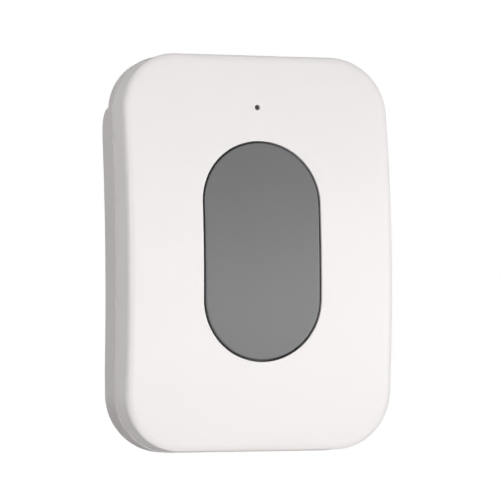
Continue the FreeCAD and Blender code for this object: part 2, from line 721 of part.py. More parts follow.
def rear_inside(doc, s, name, side_wall, back_wall):
    """The rear cover's solid inside walls this thick, and on past its lip to the front."""
    body = new_body(doc, name)
    half_width = s.rear_half_width - side_wall
    half_height = s.rear_half_height - side_wall
    plan = new_sketch(body, "XZ_Plane", f"{name}_plan")
    draw_loop(plan, rounded(half_width, half_height, s.case_corner - side_wall))
    front = s.parting_y - s.lip_height - PAST
    pad(body, plan, -front)
    profile = rear_profile(s, back_wall, behind_parting(s, -s.lip_height - PAST / 2))
    trim_to_side(body, profile, s.rear_half_height, (front - PAST, as_size(PAST)))
    return body


def rear_cover(doc, s):
    blank = rear_blank(doc, s)
    start = behind_parting(s, -s.lip_height)
    end = behind_parting(s, s.back_wall / 2)
    outline = rounded(s.lip_half_width, s.lip_half_height, s.lip_corner)
    lip = bowed_prism(doc, "rear_lip", outline, s.rear_half_height, start, end)
    outline = rounded(s.land_width / 2, s.land_height / 2, s.land_corner)
    land_front = (-s.back_hollow - s.back_wall / 2, None)
    land = bowed_prism(doc, "rear_land", outline, s.land_height / 2, land_front, (as_size(0.0), None))
    outside = join(doc, "rear_outside", "MultiFuse", [blank, lip, land])
    hollow = rear_inside(doc, s, "rear_hollow", s.side_wall, s.back_wall)
    shell = cut(doc, "rear_shell", outside, hollow)
    recess = s.screw_head + s.head_recess_gap * 2
    boss = recess + s.head_boss_wall * 2
    shank = s.screw_shank + s.pin_clearance * 2
    bosses = []
    holes = []
    for number, (x, z) in enumerate(corners_of(s.case_screw_x, s.case_screw_z), start=1):
        bosses.append(rod(doc, f"head_boss_{number}", boss, s.boss_y + s.boss_gap, as_size(0.0), x, z))
        holes.append(rod(doc, f"head_recess_{number}", recess, s.screw_seat_y, as_size(PAST), x, z))
        holes.append(rod(doc, f"shank_hole_{number}", shank, s.boss_y - PAST, s.screw_seat_y, x, z))
    rods = join(doc, "rear_rods", "MultiFuse", bosses)
    room = rear_inside(doc, s, "rear_boss_room", s.side_wall / 2, s.back_wall / 2)
    trimmed = join(doc, "rear_bosses", "MultiCommon", [rods, room])
    solid = join(doc, "rear_solid", "MultiFuse", [shell, trimmed])
    return cut(doc, "rear_cover", solid, join(doc, "rear_holes", "MultiFuse", holes))


def panic_button(doc, s):
    """The long grey key: a bowed cap flush with the front, and a flange that the cover holds in."""
    half_width, half_height = s.key_half_width, s.key_half_height
    front = (s.front_y, s.front_bow)
    back = (s.key_back_y, None)
    cap = bowed_prism(doc, "key_cap", stadium(half_width, half_height), half_height, front, back)
    doc.recompute()
    deepest = (s.front_y.value + sagitta(s.front_bow, half_height).value + s.key_back_y.value) / 2
    round_edges(cap, cap.Tip, "key_rim", s.key_round, lambda edge: edge.BoundBox.YMax < deepest)
    outline = stadium(s.flange_half_width, s.flange_half_height)
    flange = bowed_prism(doc, "key_flange", outline, s.flange_half_height, (s.flange_y, s.flange_bow), back)
    outline = stadium(half_width - s.key_wall, half_height - s.key_wall)
    roof = (s.key_roof_y, None)
    hollow = bowed_prism(doc, "key_hollow", outline, half_height, roof, (s.key_back_y + PAST, None))
    return cut(doc, "panic_button", join(doc, "key_solid", "MultiFuse", [cap, flange]), hollow)


def button_carrier(doc, s):
    """The plate behind the key: a window for the switch, a notch for the light, pins for the springs."""
    body = new_body(doc, "button_carrier")
    plan = new_sketch(body, "XZ_Plane", "carrier_plan", -s.carrier_back_y)
    draw_loop(plan, rounded(s.carrier_half_width, s.carrier_height / 2, s.carrier_corner))
    window = s.carrier_window / 2
    draw_loop(plan, rounded(window, window, s.window_corner))
    for x, z in corners_of(s.stake_x, s.stake_z):
        draw_circle(plan, x, z, s.stake_pin / 2 + s.pin_clearance)
    pad(body, plan, s.carrier_thickness)
    pins = new_sketch(body, "XZ_Plane", "carrier_pins", -s.carrier_back_y)
    for side in (-1, 1):
        draw_circle(pins, 0.0, side * s.spring_offset, s.spring_pin / 2)
    pad(body, pins, s.carrier_thickness + s.spring_pin_height)
    notch = new_sketch(body, "XZ_Plane", "carrier_notch")
    draw_circle(notch, 0.0, s.light_height, s.guide_width / 2 + s.carrier_notch_gap)
    cut_through(body, notch)
    return body


def coil(doc, name, width, wire, length, turns):
    """A coil of round wire along the body's own Z axis, from 0 to its length."""
    body = new_body(doc, name)
    section = new_sketch(body, "XZ_Plane", f"{name}_section")
    draw_circle(section, (width - wire) / 2, wire / 2, wire / 2)
    helix = body.newObject("PartDesign::AdditiveHelix", f"{name}_helix")
    helix.Profile = section
    helix.ReferenceAxis = (section, ["V_Axis"])
    helix.Mode = "height-turns-angle"
    bind(helix, "Height", length - wire)
    bind(helix, "Turns", turns)
    section.Visibility = False
    return body


def return_springs(doc, s):
    """Two springs that push the key back out, each on a pin of the carrier."""
    length = s.carrier_front_y - s.key_roof_y - s.spring_end_gap * 2
    springs = []
    for name, side in (("return_spring_lower", -1), ("return_spring_upper", 1)):
        spring = coil(doc, name, s.spring_width, s.spring_wire, length, s.spring_turns)
        spring.Placement.Rotation = FreeCAD.Rotation(FreeCAD.Vector(1, 0, 0), -90)
        place(spring, 0.0, s.key_roof_y + s.spring_end_gap, side * s.spring_offset)
        springs.append(spring)
    return springs


def antenna_coil(doc, s):
    antenna = coil(doc, "antenna_coil", s.antenna_width, s.antenna_wire, s.antenna_length, s.antenna_turns)
    antenna.Placement.Rotation = FreeCAD.Rotation(FreeCAD.Vector(0, 1, 0), 90)
    return place(antenna, -s.antenna_length / 2, s.board_back_y + s.antenna_width / 2, s.antenna_up)


def light_pipe(doc, s):
    """Carries the status light to the pinhole: a thin pin in front, and a wider body in its guide."""
    tip = s.front_y + sagitta(s.front_bow, s.light_height) + s.pipe_setback
    up = s.light_height
    pin = rod(doc, "pipe_pin_rod", s.pipe_pin, tip, s.pipe_back_y, 0.0, up)
    body = rod(doc, "pipe_body_rod", s.pipe_width, s.pipe_front_y, s.pipe_back_y, 0.0, up)
    return join(doc, "light_pipe", "MultiFuse", [pin, body])


def status_led(doc, s):
    up = s.light_height
    base_y = s.board_front_y - s.led_base
    base = block(doc, "led_base_block", s.led_length, s.led_base, s.led_width, 0.0, base_y, up)
    lens = block(doc, "led_lens_block", s.led_width, s.led_lens, s.led_width, 0.0, s.lens_y, up)
    return join(doc, "status_led", "MultiFuse", [base, lens])


def cover_gasket(doc, s):
    """The sealing ring, bowed like the parting line, in front of the rear cover's lip."""
    front = behind_parting(s, -s.lip_height - s.gasket_gap - s.gasket_thickness)
    back = behind_parting(s, -s.lip_height - s.gasket_gap)
    outline = rounded(s.lip_half_width, s.lip_half_height, s.lip_corner)
    ring = bowed_prism(doc, "gasket_outside", outline, s.rear_half_height, front, back)
    width = s.gasket_width
    outline = rounded(s.lip_half_width - width, s.lip_half_height - width, s.lip_corner - width)
    past = as_size(PAST)
    inside = bowed_prism(
        doc,
        "gasket_inside",
        outline,
        s.rear_half_height,
        (front[0] - past, front[1] + past),
        (back[0] + past, back[1] - past),
    )
    return cut(doc, "cover_gasket", ring, inside)


def circuit_board(doc, s):
    """The board, notched at its corners for the case's bosses, with two screw holes."""
    body = new_body(doc, "circuit_board")
    plan = new_sketch(body, "XZ_Plane", "board_plan", -s.board_back_y)
    draw_loop(plan, rounded(s.board_half_width, s.board_half_height, s.board_corner))
    pad(body, plan, s.board_thickness)
    holes = new_sketch(body, "XZ_Plane", "board_holes")
    for x, z in corners_of(s.case_screw_x, s.case_screw_z):
        draw_circle(holes, x, z, s.case_boss / 2 + s.notch_clearance)
    for side in (-1, 1):
        x = side * s.board_screw_x
        draw_circle(holes, x, 0.0, s.board_screw_shank / 2 + s.pin_clearance)
    cut_through(body, holes)
    return body


def push_switch(doc, s):
    """The switch in the middle of the board: its body, its metal plate, its snap dome and the plunger."""
    size = s.switch_size
    body_depth = s.board_front_y - s.plate_back_y
    outside = block(doc, "switch_block", size, body_depth, size, 0.0, s.plate_back_y, 0.0)
    cavity = rod(doc, "switch_cavity_rod", s.switch_cavity, s.plate_back_y - PAST, s.switch_floor_y)
    body = cut(doc, "switch_body", outside, cavity)
    sheet = block(doc, "plate_block", size, s.switch_plate, size, 0.0, s.plate_front_y, 0.0)
    hole_width = s.plunger_width + s.plunger_fit * 2
    hole = rod(doc, "plate_hole_rod", hole_width, s.plate_front_y - PAST, s.plate_back_y + PAST)
    plate = cut(doc, "switch_plate", sheet, hole)
    stem = rod(doc, "plunger_stem", s.plunger_width, s.plunger_tip_y, s.plunger_back_y)
    width = s.switch_cavity - s.plunger_flange_gap * 2
    flange = rod(doc, "plunger_flange_rod", width, s.plunger_flange_y, s.plunger_back_y)
    plunger = join(doc, "switch_plunger", "MultiFuse", [stem, flange])
    return [body, plate, plunger]


def switch_dome(doc, s):
    """A thin snapping dome between the plunger and the switch's floor, turned about the Y axis."""
    body = new_body(doc, "switch_dome")
    section = new_sketch(body, "YZ_Plane", "dome_section")
    floor = s.switch_floor_y
    top = s.plunger_back_y + s.plunger_gap
    sheet = s.dome_thickness
    foot = s.switch_cavity / 2 - s.pin_clearance
    shoulder = foot - s.dome_foot
    crown = s.dome_crown / 2
    corners = [
        (top, 0.0),
        (top, crown),
        (floor - sheet, shoulder),
        (floor - sheet, foot),
        (floor, foot),
        (floor, shoulder - sheet),
        (top + sheet, crown - sheet),
        (top + sheet, 0.0),
    ]
    draw_loop(section, corners)
    turn = body.newObject("PartDesign::Revolution", "dome_turn")
    turn.Profile = section
    turn.ReferenceAxis = (section, ["H_Axis"])
    turn.Angle = 360
    section.Visibility = False
    return body


def screw(doc, s, name, sizes, spot):
    """A self-tapping screw with its head to the back, and a cross in its head."""
    shank, length, head, head_height, cross, depth = sizes
    body = new_body(doc, name)
    section = new_sketch(body, "YZ_Plane", f"{name}_section")
    radius = shank / 2
    bend = s.head_round
    corners = [
        (-length, 0.0),
        (head_height, 0.0),
        (head_height, head / 2 - bend, bend, -1),
        (head_height - bend, head / 2),
        (0.0, head / 2),
        (0.0, radius),
        (s.screw_point - length, radius),
        (-length, s.screw_tip / 2),
    ]
    draw_loop(section, corners)
    turn = body.newObject("PartDesign::Revolution", f"{name}_turn")
    turn.Profile = section
    turn.ReferenceAxis = (section, ["H_Axis"])
    turn.Angle = 360
    section.Visibility = False
    recess = new_sketch(body, "XZ_Plane", f"{name}_recess", -head_height)
    arm, half = cross / 2, s.recess_width / 2
    draw_loop(
        recess,
        [
            (-arm, -half),
            (-half, -half),
            (-half, -arm),
            (half, -arm),
            (half, -half),
            (arm, -half),
            (arm, half),
            (half, half),
            (half, arm),
            (-half, arm),
            (-half, half),
            (-arm, half),
        ],
    )
    pocket = body.newObject("PartDesign::Pocket", f"{name}_cross")
    pocket.Profile = recess
    bind(pocket, "Length", depth)
    pocket.Reversed = True
    return place(body, *spot)


def screws(doc, s):
    """Four screws that close the case from behind, and two that hold the board."""
    made = []
    sizes = (
        s.screw_shank,
        s.screw_length,
        s.screw_head,
        s.screw_head_height,
        s.recess_length,
        s.recess_depth,
    )
    for number, (x, z) in enumerate(corners_of(s.case_screw_x, s.case_screw_z), start=1):
        made.append(screw(doc, s, f"case_screw_{number}", sizes, (x, s.screw_seat_y, z)))
    sizes = (
        s.board_screw_shank,
        s.board_screw_length,
        s.board_screw_head,
        s.board_screw_head_height,
        s.board_recess_length,
        s.board_recess_depth,
    )
    for number, side in enumerate((-1, 1), start=1):
        spot = (side * s.board_screw_x, s.board_back_y, 0.0)
        made.append(screw(doc, s, f"board_screw_{number}", sizes, spot))
    return made


def coin_cell(doc, s):
    """The coin cell, its narrower lid to the front."""
    up = s.cell_height
    lid_back = s.cell_front_y + s.cell_lid
    lid = rod(doc, "cell_lid_rod", s.cell_width - s.cell_step * 2, s.cell_front_y, lid_back, 0.0, up)
    can = rod(doc, "cell_can_rod", s.cell_width, lid_back, s.cell_back_y, 0.0, up)
    return join(doc, "coin_cell", "MultiFuse", [lid, can])


def cell_holder(doc, s):
    up = s.cell_height
    rise_y = s.board_back_y + s.holder_rise
    ring = rod(doc, "holder_ring_rod", s.holder_outside, s.board_back_y, rise_y, 0.0, up)
    floor_y = s.board_back_y + s.holder_floor
    room = rod(doc, "holder_room_rod", s.holder_inside, floor_y, rise_y + PAST, 0.0, up)
    window = rod(doc, "holder_window_rod", s.holder_window, s.board_back_y - PAST, floor_y + PAST, 0.0, up)
    inside = join(doc, "holder_inside", "MultiFuse", [room, window])
    return cut(doc, "cell_holder", ring, inside)


def cell_contacts(doc, s):
    """The strip under the cell, and the bent strip from the board up and over the cell's back."""
    up = s.cell_height
    sheet = s.contact_thickness
    width = s.contact_width
    floor_y = s.board_back_y + s.holder_floor
    strip_length = s.holder_window + s.holder_wall * 2
    strip = block(doc, "negative_strip", strip_length, sheet, width, 0.0, floor_y, up)
    leg = block(doc, "negative_leg", width / 2, s.holder_floor, width / 2, 0.0, s.board_back_y, up)
    negative = join(doc, "negative_contact", "MultiFuse", [strip, leg])
    near = s.holder_outside / 2 + s.pin_clearance
    top_y = s.cell_back_y + sheet
    riser_depth = top_y - s.board_back_y
    riser = block(doc, "positive_riser", sheet, riser_depth, width, near + sheet / 2, s.board_back_y, up)
    inner = s.cell_width / 2 - s.contact_reach
    arm_length = near + sheet - inner
    arm = block(doc, "positive_arm", arm_length, sheet, width, inner + arm_length / 2, s.cell_back_y, up)
    foot_middle = near + s.contact_foot / 2
    foot = block(doc, "positive_foot", s.contact_foot, sheet, width, foot_middle, s.board_back_y, up)
    positive = join(doc, "positive_contact", "MultiFuse", [riser, arm, foot])
    return [negative, positive]


def radio(doc, s):
    """The radio chip on the back of the board and the sheet-metal shield over it."""
    across, up = s.shield_across, s.radio_up
    chip = block(doc, "radio_chip", s.chip_width, s.chip_depth, s.chip_width, across, s.board_back_y, up)
    width, depth, height = s.shield_width, s.shield_depth, s.shield_height
    outer = block(doc, "shield_block", width, depth, height, across, s.board_back_y, up)
    sheet = s.shield_sheet
    inner = block(
        doc,
        "shield_room",
        width - sheet * 2,
        depth - sheet + PAST,
        height - sheet * 2,
        across,
        s.board_back_y - PAST,
        up,
    )
    return [chip, cut(doc, "radio_shield", outer, inner)]


def controller(doc, s):
    width = s.controller_width
    spot = (s.controller_across, s.board_back_y, s.radio_up)
    return block(doc, "controller_chip", width, s.controller_depth, width, *spot)


def crystal_can(doc, s):
    """A thin round can that lies along the board."""
    can = doc.addObject("Part::Cylinder", "crystal_can")
    bind(can, "Radius", s.crystal_thickness / 2)
    bind(can, "Height", s.crystal_width)
    middle = s.board_back_y + s.crystal_thickness / 2
    return place(can, s.crystal_inset - s.board_half_width, middle, s.radio_up - s.crystal_width / 2)


def chip_row(doc, name, count, pitch, size, front, up):
    """A row of equal small parts, centred on the case."""
    width, depth, height = size
    made = []
    for number in range(count):
        x = (number - (count - 1) / 2) * pitch
        made.append(block(doc, f"{name}_{number + 1}", width, depth, height, x, front, up))
    return made


def capacitors(doc, s):
    size = (s.capacitor_length, s.capacitor_width, s.capacitor_width)
    up = s.capacitor_inset - s.board_half_height
    return chip_row(doc, "capacitor", CAPACITOR_COUNT, s.capacitor_pitch, size, s.board_back_y, up)


def resistors(doc, s):
    size = (s.resistor_width, s.resistor_depth, s.resistor_length)
    front = s.board_front_y - s.resistor_depth
    up = s.resistor_inset - s.board_half_height
    return chip_row(doc, "resistor", RESISTOR_COUNT, s.resistor_pitch, size, front, up)


def build(doc):
    """Every separate piece, in its place in the closed case."""
    s = make_sheet(doc)
    work_out(s)
    pieces = [front_cover(doc, s), rear_cover(doc, s), panic_button(doc, s), button_carrier(doc, s)]
    pieces += return_springs(doc, s)
    pieces += [light_pipe(doc, s), status_led(doc, s), cover_gasket(doc, s), circuit_board(doc, s)]
    pieces += push_switch(doc, s)
    pieces += [switch_dome(doc, s), coin_cell(doc, s), cell_holder(doc, s)]
    pieces += cell_contacts(doc, s)
    pieces += radio(doc, s)
    pieces += [controller(doc, s), crystal_can(doc, s), antenna_coil(doc, s)]
    pieces += capacitors(doc, s)
    pieces += resistors(doc, s)
    pieces += screws(doc, s)
    for piece in pieces:
        piece.Label = piece.Name
    return pieces


def check_document(doc, pieces):
    """Stops if any object failed to build, or a piece isn't one sound solid."""
    failed = [each.Name for each in doc.Objects if {"Invalid", "Error"} & set(each.State)]
    if failed:
        raise RuntimeError(f"failed to build: {failed}")
    for piece in pieces:
        shape = piece.Shape
        if shape.isNull() or not shape.isValid() or len(shape.Solids) != 1:
            raise RuntimeError(f"{piece.Name} isn't one sound solid")


def main():
    doc = FreeCAD.newDocument("panic_button")
    pieces = build(doc)
    doc.recompute()
    check_document(doc, pieces)
    os.makedirs("parts", exist_ok=True)
    for piece in pieces:
        piece.Shape.exportStep(f"parts/{piece.Label}.step")
        print(f"{piece.Label}: {piece.Shape.Volume:.1f} cubic mm")


main()
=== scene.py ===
# %% [markdown]
# # A wireless panic button for a wall
# The real thing is a bowed white case, moulded in two halves, with one long grey key to press and a
# status light that shines out of a pinhole. Its solids come ready made as a fixed frame, at their
# real size and place. This lesson gives them their looks: the three shells that show are modelled
# again as smooth meshes with soft edges, and every other piece gets a finish of its own.

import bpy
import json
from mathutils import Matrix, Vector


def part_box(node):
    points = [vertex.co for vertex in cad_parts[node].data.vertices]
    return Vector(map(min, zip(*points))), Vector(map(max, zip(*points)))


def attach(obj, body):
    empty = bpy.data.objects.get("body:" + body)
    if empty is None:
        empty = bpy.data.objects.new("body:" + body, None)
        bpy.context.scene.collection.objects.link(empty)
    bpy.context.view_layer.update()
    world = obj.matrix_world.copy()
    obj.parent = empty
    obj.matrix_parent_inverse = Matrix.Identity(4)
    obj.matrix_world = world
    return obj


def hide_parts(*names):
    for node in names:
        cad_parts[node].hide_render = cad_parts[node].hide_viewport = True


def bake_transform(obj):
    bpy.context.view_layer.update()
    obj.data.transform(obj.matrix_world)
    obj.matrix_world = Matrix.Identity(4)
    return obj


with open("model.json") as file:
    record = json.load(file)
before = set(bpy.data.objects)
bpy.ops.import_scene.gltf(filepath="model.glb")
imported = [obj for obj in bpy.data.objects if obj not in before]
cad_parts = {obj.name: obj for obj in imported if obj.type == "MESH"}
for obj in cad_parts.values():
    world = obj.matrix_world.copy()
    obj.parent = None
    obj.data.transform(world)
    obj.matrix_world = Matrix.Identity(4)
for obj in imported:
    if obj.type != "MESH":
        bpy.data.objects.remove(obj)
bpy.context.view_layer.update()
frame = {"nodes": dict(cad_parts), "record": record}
print("pieces in the frame:", len(frame["nodes"]))

# %% Modules and the unit
import json
import math

import bmesh
import bpy
from mathutils import Matrix, Vector

MM = 0.001
print("one millimetre is", MM, "of Blender's metres")

# %% [markdown]
# ## The camera
# The photograph was taken with a long lens from a little to the left of the key and a little below
# it, so the left wall shows and the side lines hardly run together. Its angle is given as a
# direction from the object to the camera, and the lens as what fills the frame. The camera is
# rolled by less than a degree, because the real one wasn't quite level.

# %% Place the camera
VIEW_LEFT = math.radians(18.71)
VIEW_BELOW = math.radians(3.32)
VIEW_ROLL = math.radians(-0.72)
VIEW_DISTANCE = 558.2 * MM
LENS = 211.8
SENSOR_WIDTH = 36.0
NEAREST_SEEN = 50 * MM
AIM = Vector((0.17, -8.2, 0.65)) * MM

back = Vector((
    -math.sin(VIEW_LEFT) * math.cos(VIEW_BELOW),
    -math.cos(VIEW_LEFT) * math.cos(VIEW_BELOW),
    -math.sin(VIEW_BELOW),
))
camera_data = bpy.data.cameras.new("camera")
camera_data.lens = LENS
camera_data.sensor_width = SENSOR_WIDTH
camera_data.clip_start = NEAREST_SEEN
camera = bpy.data.objects.new("camera", camera_data)
bpy.context.scene.collection.objects.link(camera)
camera.location = AIM + back * VIEW_DISTANCE
turn = (-back).to_track_quat("-Z", "Y").to_matrix().to_4x4()
camera.rotation_euler = (turn @ Matrix.Rotation(VIEW_ROLL, 4, "Z")).to_euler()
bpy.context.scene.camera = camera
bpy.context.scene.view_settings.view_transform = "Standard"
print("camera stands at", [round(value, 3) for value in camera.location])

# %% [markdown]
# ## Sizes of the shells
# The shells follow the frame, so their outer sizes are read from its boxes. The rest are the same
# design sizes that the solids were made with: how far each surface is bowed, how thick the walls
# are, and how round each edge is. A bowed surface is part of a cylinder that lies across the case,
# so how far it has fallen back depends only on the height. The front's rim is rounded along the
# sides, but flatter at the top and bottom, where the photograph stays bright up to the edge.

# %% Read the outer sizes from the frame
rear_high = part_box("rear_cover")[1]
front_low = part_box("front_cover")[0]
key_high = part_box("panic_button")[1]

REAR_HALF_WIDTH = rear_high.x
REAR_HALF_HEIGHT = 37.6 * MM
FRONT_Y = front_low.y
KEY_BACK_Y = key_high.y
print("case:", [round(value / MM, 2) for value in rear_high - front_low])

# %% Name the design sizes
LEDGE = 0.25 * MM
FRONT_DEPTH = 7.55 * MM
FRONT_BOW = 170.0 * MM
PARTING_BOW = 210.0 * MM
FRONT_ROUND = 1.5 * MM
RIM_DEPTH = 1.35 * MM
END_FLATTER = 0.65
FRONT_WALL = 1.8 * MM
SIDE_WALL = 2.2 * MM
BACK_WALL = 1.6 * MM
CASE_CORNER = 11.2 * MM
DRAFT = math.tan(math.radians(1.0))
EDGE_ROUND = 0.05 * MM
HOLD = 0.25 * MM

PARTING_Y = FRONT_Y + FRONT_DEPTH
INNER_Y = FRONT_Y + FRONT_WALL
FRONT_CORNER = CASE_CORNER - LEDGE
FRONT_HALF_WIDTH = REAR_HALF_WIDTH - LEDGE
FRONT_HALF_HEIGHT = REAR_HALF_HEIGHT - LEDGE
print("front cover:", round(FRONT_HALF_WIDTH * 2 / MM, 2), "by", round(FRONT_HALF_HEIGHT * 2 / MM, 2))

# %% [markdown]
# ## Drawing an outline and walking along a section
# A moulded shell is one wall that runs round an outline: out from the face, round the rim, back
# along the side, in over the edge and forward again inside. So the outline is made once, by
# bevelling the corners of a one-face grid, and its edges are then extruded along the wall's
# section, place by place. Every outline here has a straight-sided core at a fixed distance, and
# a place of the section is given as that distance and a depth.

# %% Outline helper
class Outline:
    """A rectangle with round corners, or a circle, seen from the front."""

    def __init__(self, half_width, half_height, corner, centre_x=0.0, centre_z=0.0):
        self.core_x = half_width - corner
        self.core_z = half_height - corner
        self.corner = corner
        self.centre_x = centre_x
        self.centre_z = centre_z

    def foot(self, place):
        """The nearest point of the core."""
        x = max(-self.core_x, min(self.core_x, place.x - self.centre_x)) + self.centre_x
        z = max(-self.core_z, min(self.core_z, place.z - self.centre_z)) + self.centre_z
        return Vector((x, place.y, z))

    def reach(self, place):
        """How far a place is from the core."""
        return (place - self.foot(place)).length


print("an outline is a core and a reach")

# %% Copy helper
def add_copy(bm, shape):
    """Moves a finished bmesh into another and returns its new edges."""
    mesh = bpy.data.meshes.new("scratch")
    shape.to_mesh(mesh)
    shape.free()
    known = set(bm.edges)
    bm.from_mesh(mesh)
    bpy.data.meshes.remove(mesh)
    return [edge for edge in bm.edges if edge not in known]


print("copy helper is ready")

# %% Draw an outline
ARC_STEPS = 28
OUTLINE_WELD = 0.001 * MM
UPRIGHT = Matrix.Rotation(math.pi / 2, 3, "X")


def draw(bm, outline, reach, depth, steps=ARC_STEPS):
    """Draws an outline at this reach from its core and returns its edges."""
    shape = bmesh.new()
    bmesh.ops.create_grid(shape, x_segments=1, y_segments=1, size=1.0)
    size = (outline.core_x + reach, outline.core_z + reach, 1.0)
    bmesh.ops.scale(shape, vec=size, verts=shape.verts)
    bmesh.ops.bevel(
        shape,
        geom=shape.verts[:],
        offset=reach,
        offset_type="OFFSET",
        segments=steps,
        profile=0.5,
        affect="VERTICES",
        clamp_overlap=False,
        material=-1,
    )
    bmesh.ops.remove_doubles(shape, verts=shape.verts, dist=OUTLINE_WELD)
    bmesh.ops.rotate(shape, cent=(0, 0, 0), matrix=UPRIGHT, verts=shape.verts)
    middle = (outline.centre_x, depth, outline.centre_z)
    bmesh.ops.translate(shape, vec=middle, verts=shape.verts)
    bmesh.ops.delete(shape, geom=shape.faces[:], context="FACES_ONLY")
    return add_copy(bm, shape)


print("a corner is drawn in", ARC_STEPS, "steps")


# %% Walk helper
def walk(bm, edges, outline, section):
    """Extrudes an outline's edges through a section's places: (reach, depth)."""
    for reach, depth in section:
        grown = bmesh.ops.extrude_edge_only(bm, edges=edges)["geom"]
        new_verts = {item for item in grown if isinstance(item, bmesh.types.BMVert)}
        for vert in new_verts:
            foot = outline.foot(vert.co)
            vert.co = foot + (vert.co - foot).normalized() * reach
            vert.co.y = depth
        edges = [
            item
            for item in grown
            if isinstance(item, bmesh.types.BMEdge) and set(item.verts) <= new_verts
        ]
    return edges


print("walk helper is ready")


# %% Quarter-round and fill helpers
def quarter(reach, depth, size, out, deeper, steps):
    """Places of a quarter-round that starts flat along the face and ends along the wall."""
    places = []
    for step in range(steps + 1):
        angle = math.pi / 2 * step / steps
        across = size * math.sin(angle)
        down = size * (1 - math.cos(angle))
        places.append((reach + out * across, depth + deeper * down))
    return places


def fill(bm, loops):
    """Fills a flat face between an outer loop and the holes in it."""
    edges = [edge for loop in loops for edge in loop]
    bmesh.ops.triangle_fill(bm, use_beauty=True, use_dissolve=False, edges=edges, normal=(0, -1, 0))


print("quarter-round and fill helpers are ready")

# %% [markdown]
# ## Laying a flat shell on its bowed surfaces
# The shells are first built flat, because operators such as fill and extrude work best on flat
# outlines. Horizontal cuts then divide them into narrow strips, and each point is moved back to
# where its surface lies at that height. Each surface is a depth in the flat shell together with a
# function of the height, and points between two surfaces are shared out between them.


# %% Bow and cut helpers
SAME_DEPTH = 1e-8
STRIP = 1.5 * MM


def bow(radius, z):
    """How far a bowed surface has fallen back at this height."""
    return radius - math.sqrt(radius * radius - z * z)


def cut_strips(bm, levels):
    """Cuts the whole shell at these heights."""
    for level in levels:
        everything = bm.verts[:] + bm.edges[:] + bm.faces[:]
        bmesh.ops.bisect_plane(
            bm, geom=everything, dist=SAME_DEPTH, plane_co=(0, 0, level), plane_no=(0, 0, 1)
        )


def even_levels(low, high, spacing=STRIP):
    """Heights from low to high, evenly spaced."""
    count = math.ceil((high - low) / spacing)
    return [low + (high - low) * n / count for n in range(count + 1)]


print("the front's bow falls back", round(bow(FRONT_BOW, FRONT_HALF_HEIGHT) / MM, 2), "mm at the ends")

# %% Lay helper
NUDGE = 1e-9


def lay(verts, surfaces):
    """Moves each point from the flat shell to the surfaces on either side of its depth."""
    for vert in verts:
        depth, height = vert.co.y, vert.co.z
        reached = [n for n, item in enumerate(surfaces) if item[0] >= depth - NUDGE]
        after = reached[0] if reached else len(surfaces) - 1
        before = max(after - 1, 0)
        near, near_place = surfaces[before]
        far, far_place = surfaces[after]
        share = 0.0 if after == before else (depth - near) / (far - near)
        vert.co.y = near_place(height) * (1 - share) + far_place(height) * share


print("lay helper is ready")


# %% Finish helper
SHARP = math.radians(32)
SHELL_WELD = 0.0005 * MM


def finish_shell(bm, name):
    """Joins doubles, turns all faces outwards, marks sharp edges and makes the object."""
    bmesh.ops.remove_doubles(bm, verts=bm.verts, dist=SHELL_WELD)
    bmesh.ops.dissolve_degenerate(bm, dist=SHELL_WELD, edges=bm.edges)
    bmesh.ops.recalc_face_normals(bm, faces=bm.faces)
    for face in bm.faces:
        face.smooth = True
    for edge in bm.edges:
        if len(edge.link_faces) == 2:
            edge.smooth = edge.calc_face_angle(0.0) < SHARP
    open_edges = sum(1 for edge in bm.edges if len(edge.link_faces) != 2)
    mesh = bpy.data.meshes.new(name)
    bm.to_mesh(mesh)
    bm.free()
    made = bpy.data.objects.new(name, mesh)
    bpy.context.scene.collection.objects.link(made)
    print(name, "has", len(mesh.polygons), "faces and", open_edges, "open edges")
    return made


# %% [markdown]
# ## The front cover
# This is the bowed white front with its round corners. Its rim is a soft rounding, the opening for
# the key has only a broken edge, and the pinhole above it has a tiny dished mouth. The wall is
# walked in three goes, one round each outline, and the two flat faces between them are filled. A
# narrow strip is held flat beside each rounding, so that the shading of the wide face stays even.

# %% Outlines of the front cover
KEY_GAP = 0.4 * MM
KEY_HALF_WIDTH = 11.25 * MM
KEY_HALF_HEIGHT = 20.35 * MM
OPENING_ROUND = 0.12 * MM
LIGHT_HEIGHT = 27.2 * MM
LIGHT_HOLE = 0.525 * MM
LIP_HEIGHT = 1.5 * MM
LIP_SKIN = 1.0 * MM
REBATE_DEPTH = 2.4 * MM

front_outline = Outline(FRONT_HALF_WIDTH, FRONT_HALF_HEIGHT, FRONT_CORNER)
opening_reach = KEY_HALF_WIDTH + KEY_GAP
opening_outline = Outline(opening_reach, KEY_HALF_HEIGHT + KEY_GAP, opening_reach)
light_outline = Outline(LIGHT_HOLE, LIGHT_HOLE, LIGHT_HOLE, 0.0, LIGHT_HEIGHT)
print("opening:", round(opening_reach * 2 / MM, 2), "mm wide")

# %% Walk the front cover's outer wall
RIM_STEPS = 14
EDGE_ANGLES = (0.0, math.pi / 4, math.pi / 2)

front_bm = bmesh.new()
rim = FRONT_CORNER - FRONT_ROUND
face_loop = draw(front_bm, front_outline, rim - HOLD, FRONT_Y)
wall_section = quarter(rim, FRONT_Y, FRONT_ROUND, 1, RIM_DEPTH / FRONT_ROUND, RIM_STEPS)
wall_section.append((FRONT_CORNER, FRONT_Y + RIM_DEPTH + HOLD))
wall_section.append((FRONT_CORNER, PARTING_Y - EDGE_ROUND - HOLD))
wall_section += [
    (FRONT_CORNER - EDGE_ROUND * (1 - math.cos(angle)), PARTING_Y - EDGE_ROUND * (1 - math.sin(angle)))
    for angle in EDGE_ANGLES
]
wall_section.append((FRONT_CORNER - LIP_SKIN, PARTING_Y))
wall_section.append((FRONT_CORNER - LIP_SKIN, PARTING_Y - REBATE_DEPTH))
wall_section.append((FRONT_CORNER - SIDE_WALL, PARTING_Y - REBATE_DEPTH))
wall_section.append((FRONT_CORNER - SIDE_WALL, INNER_Y))
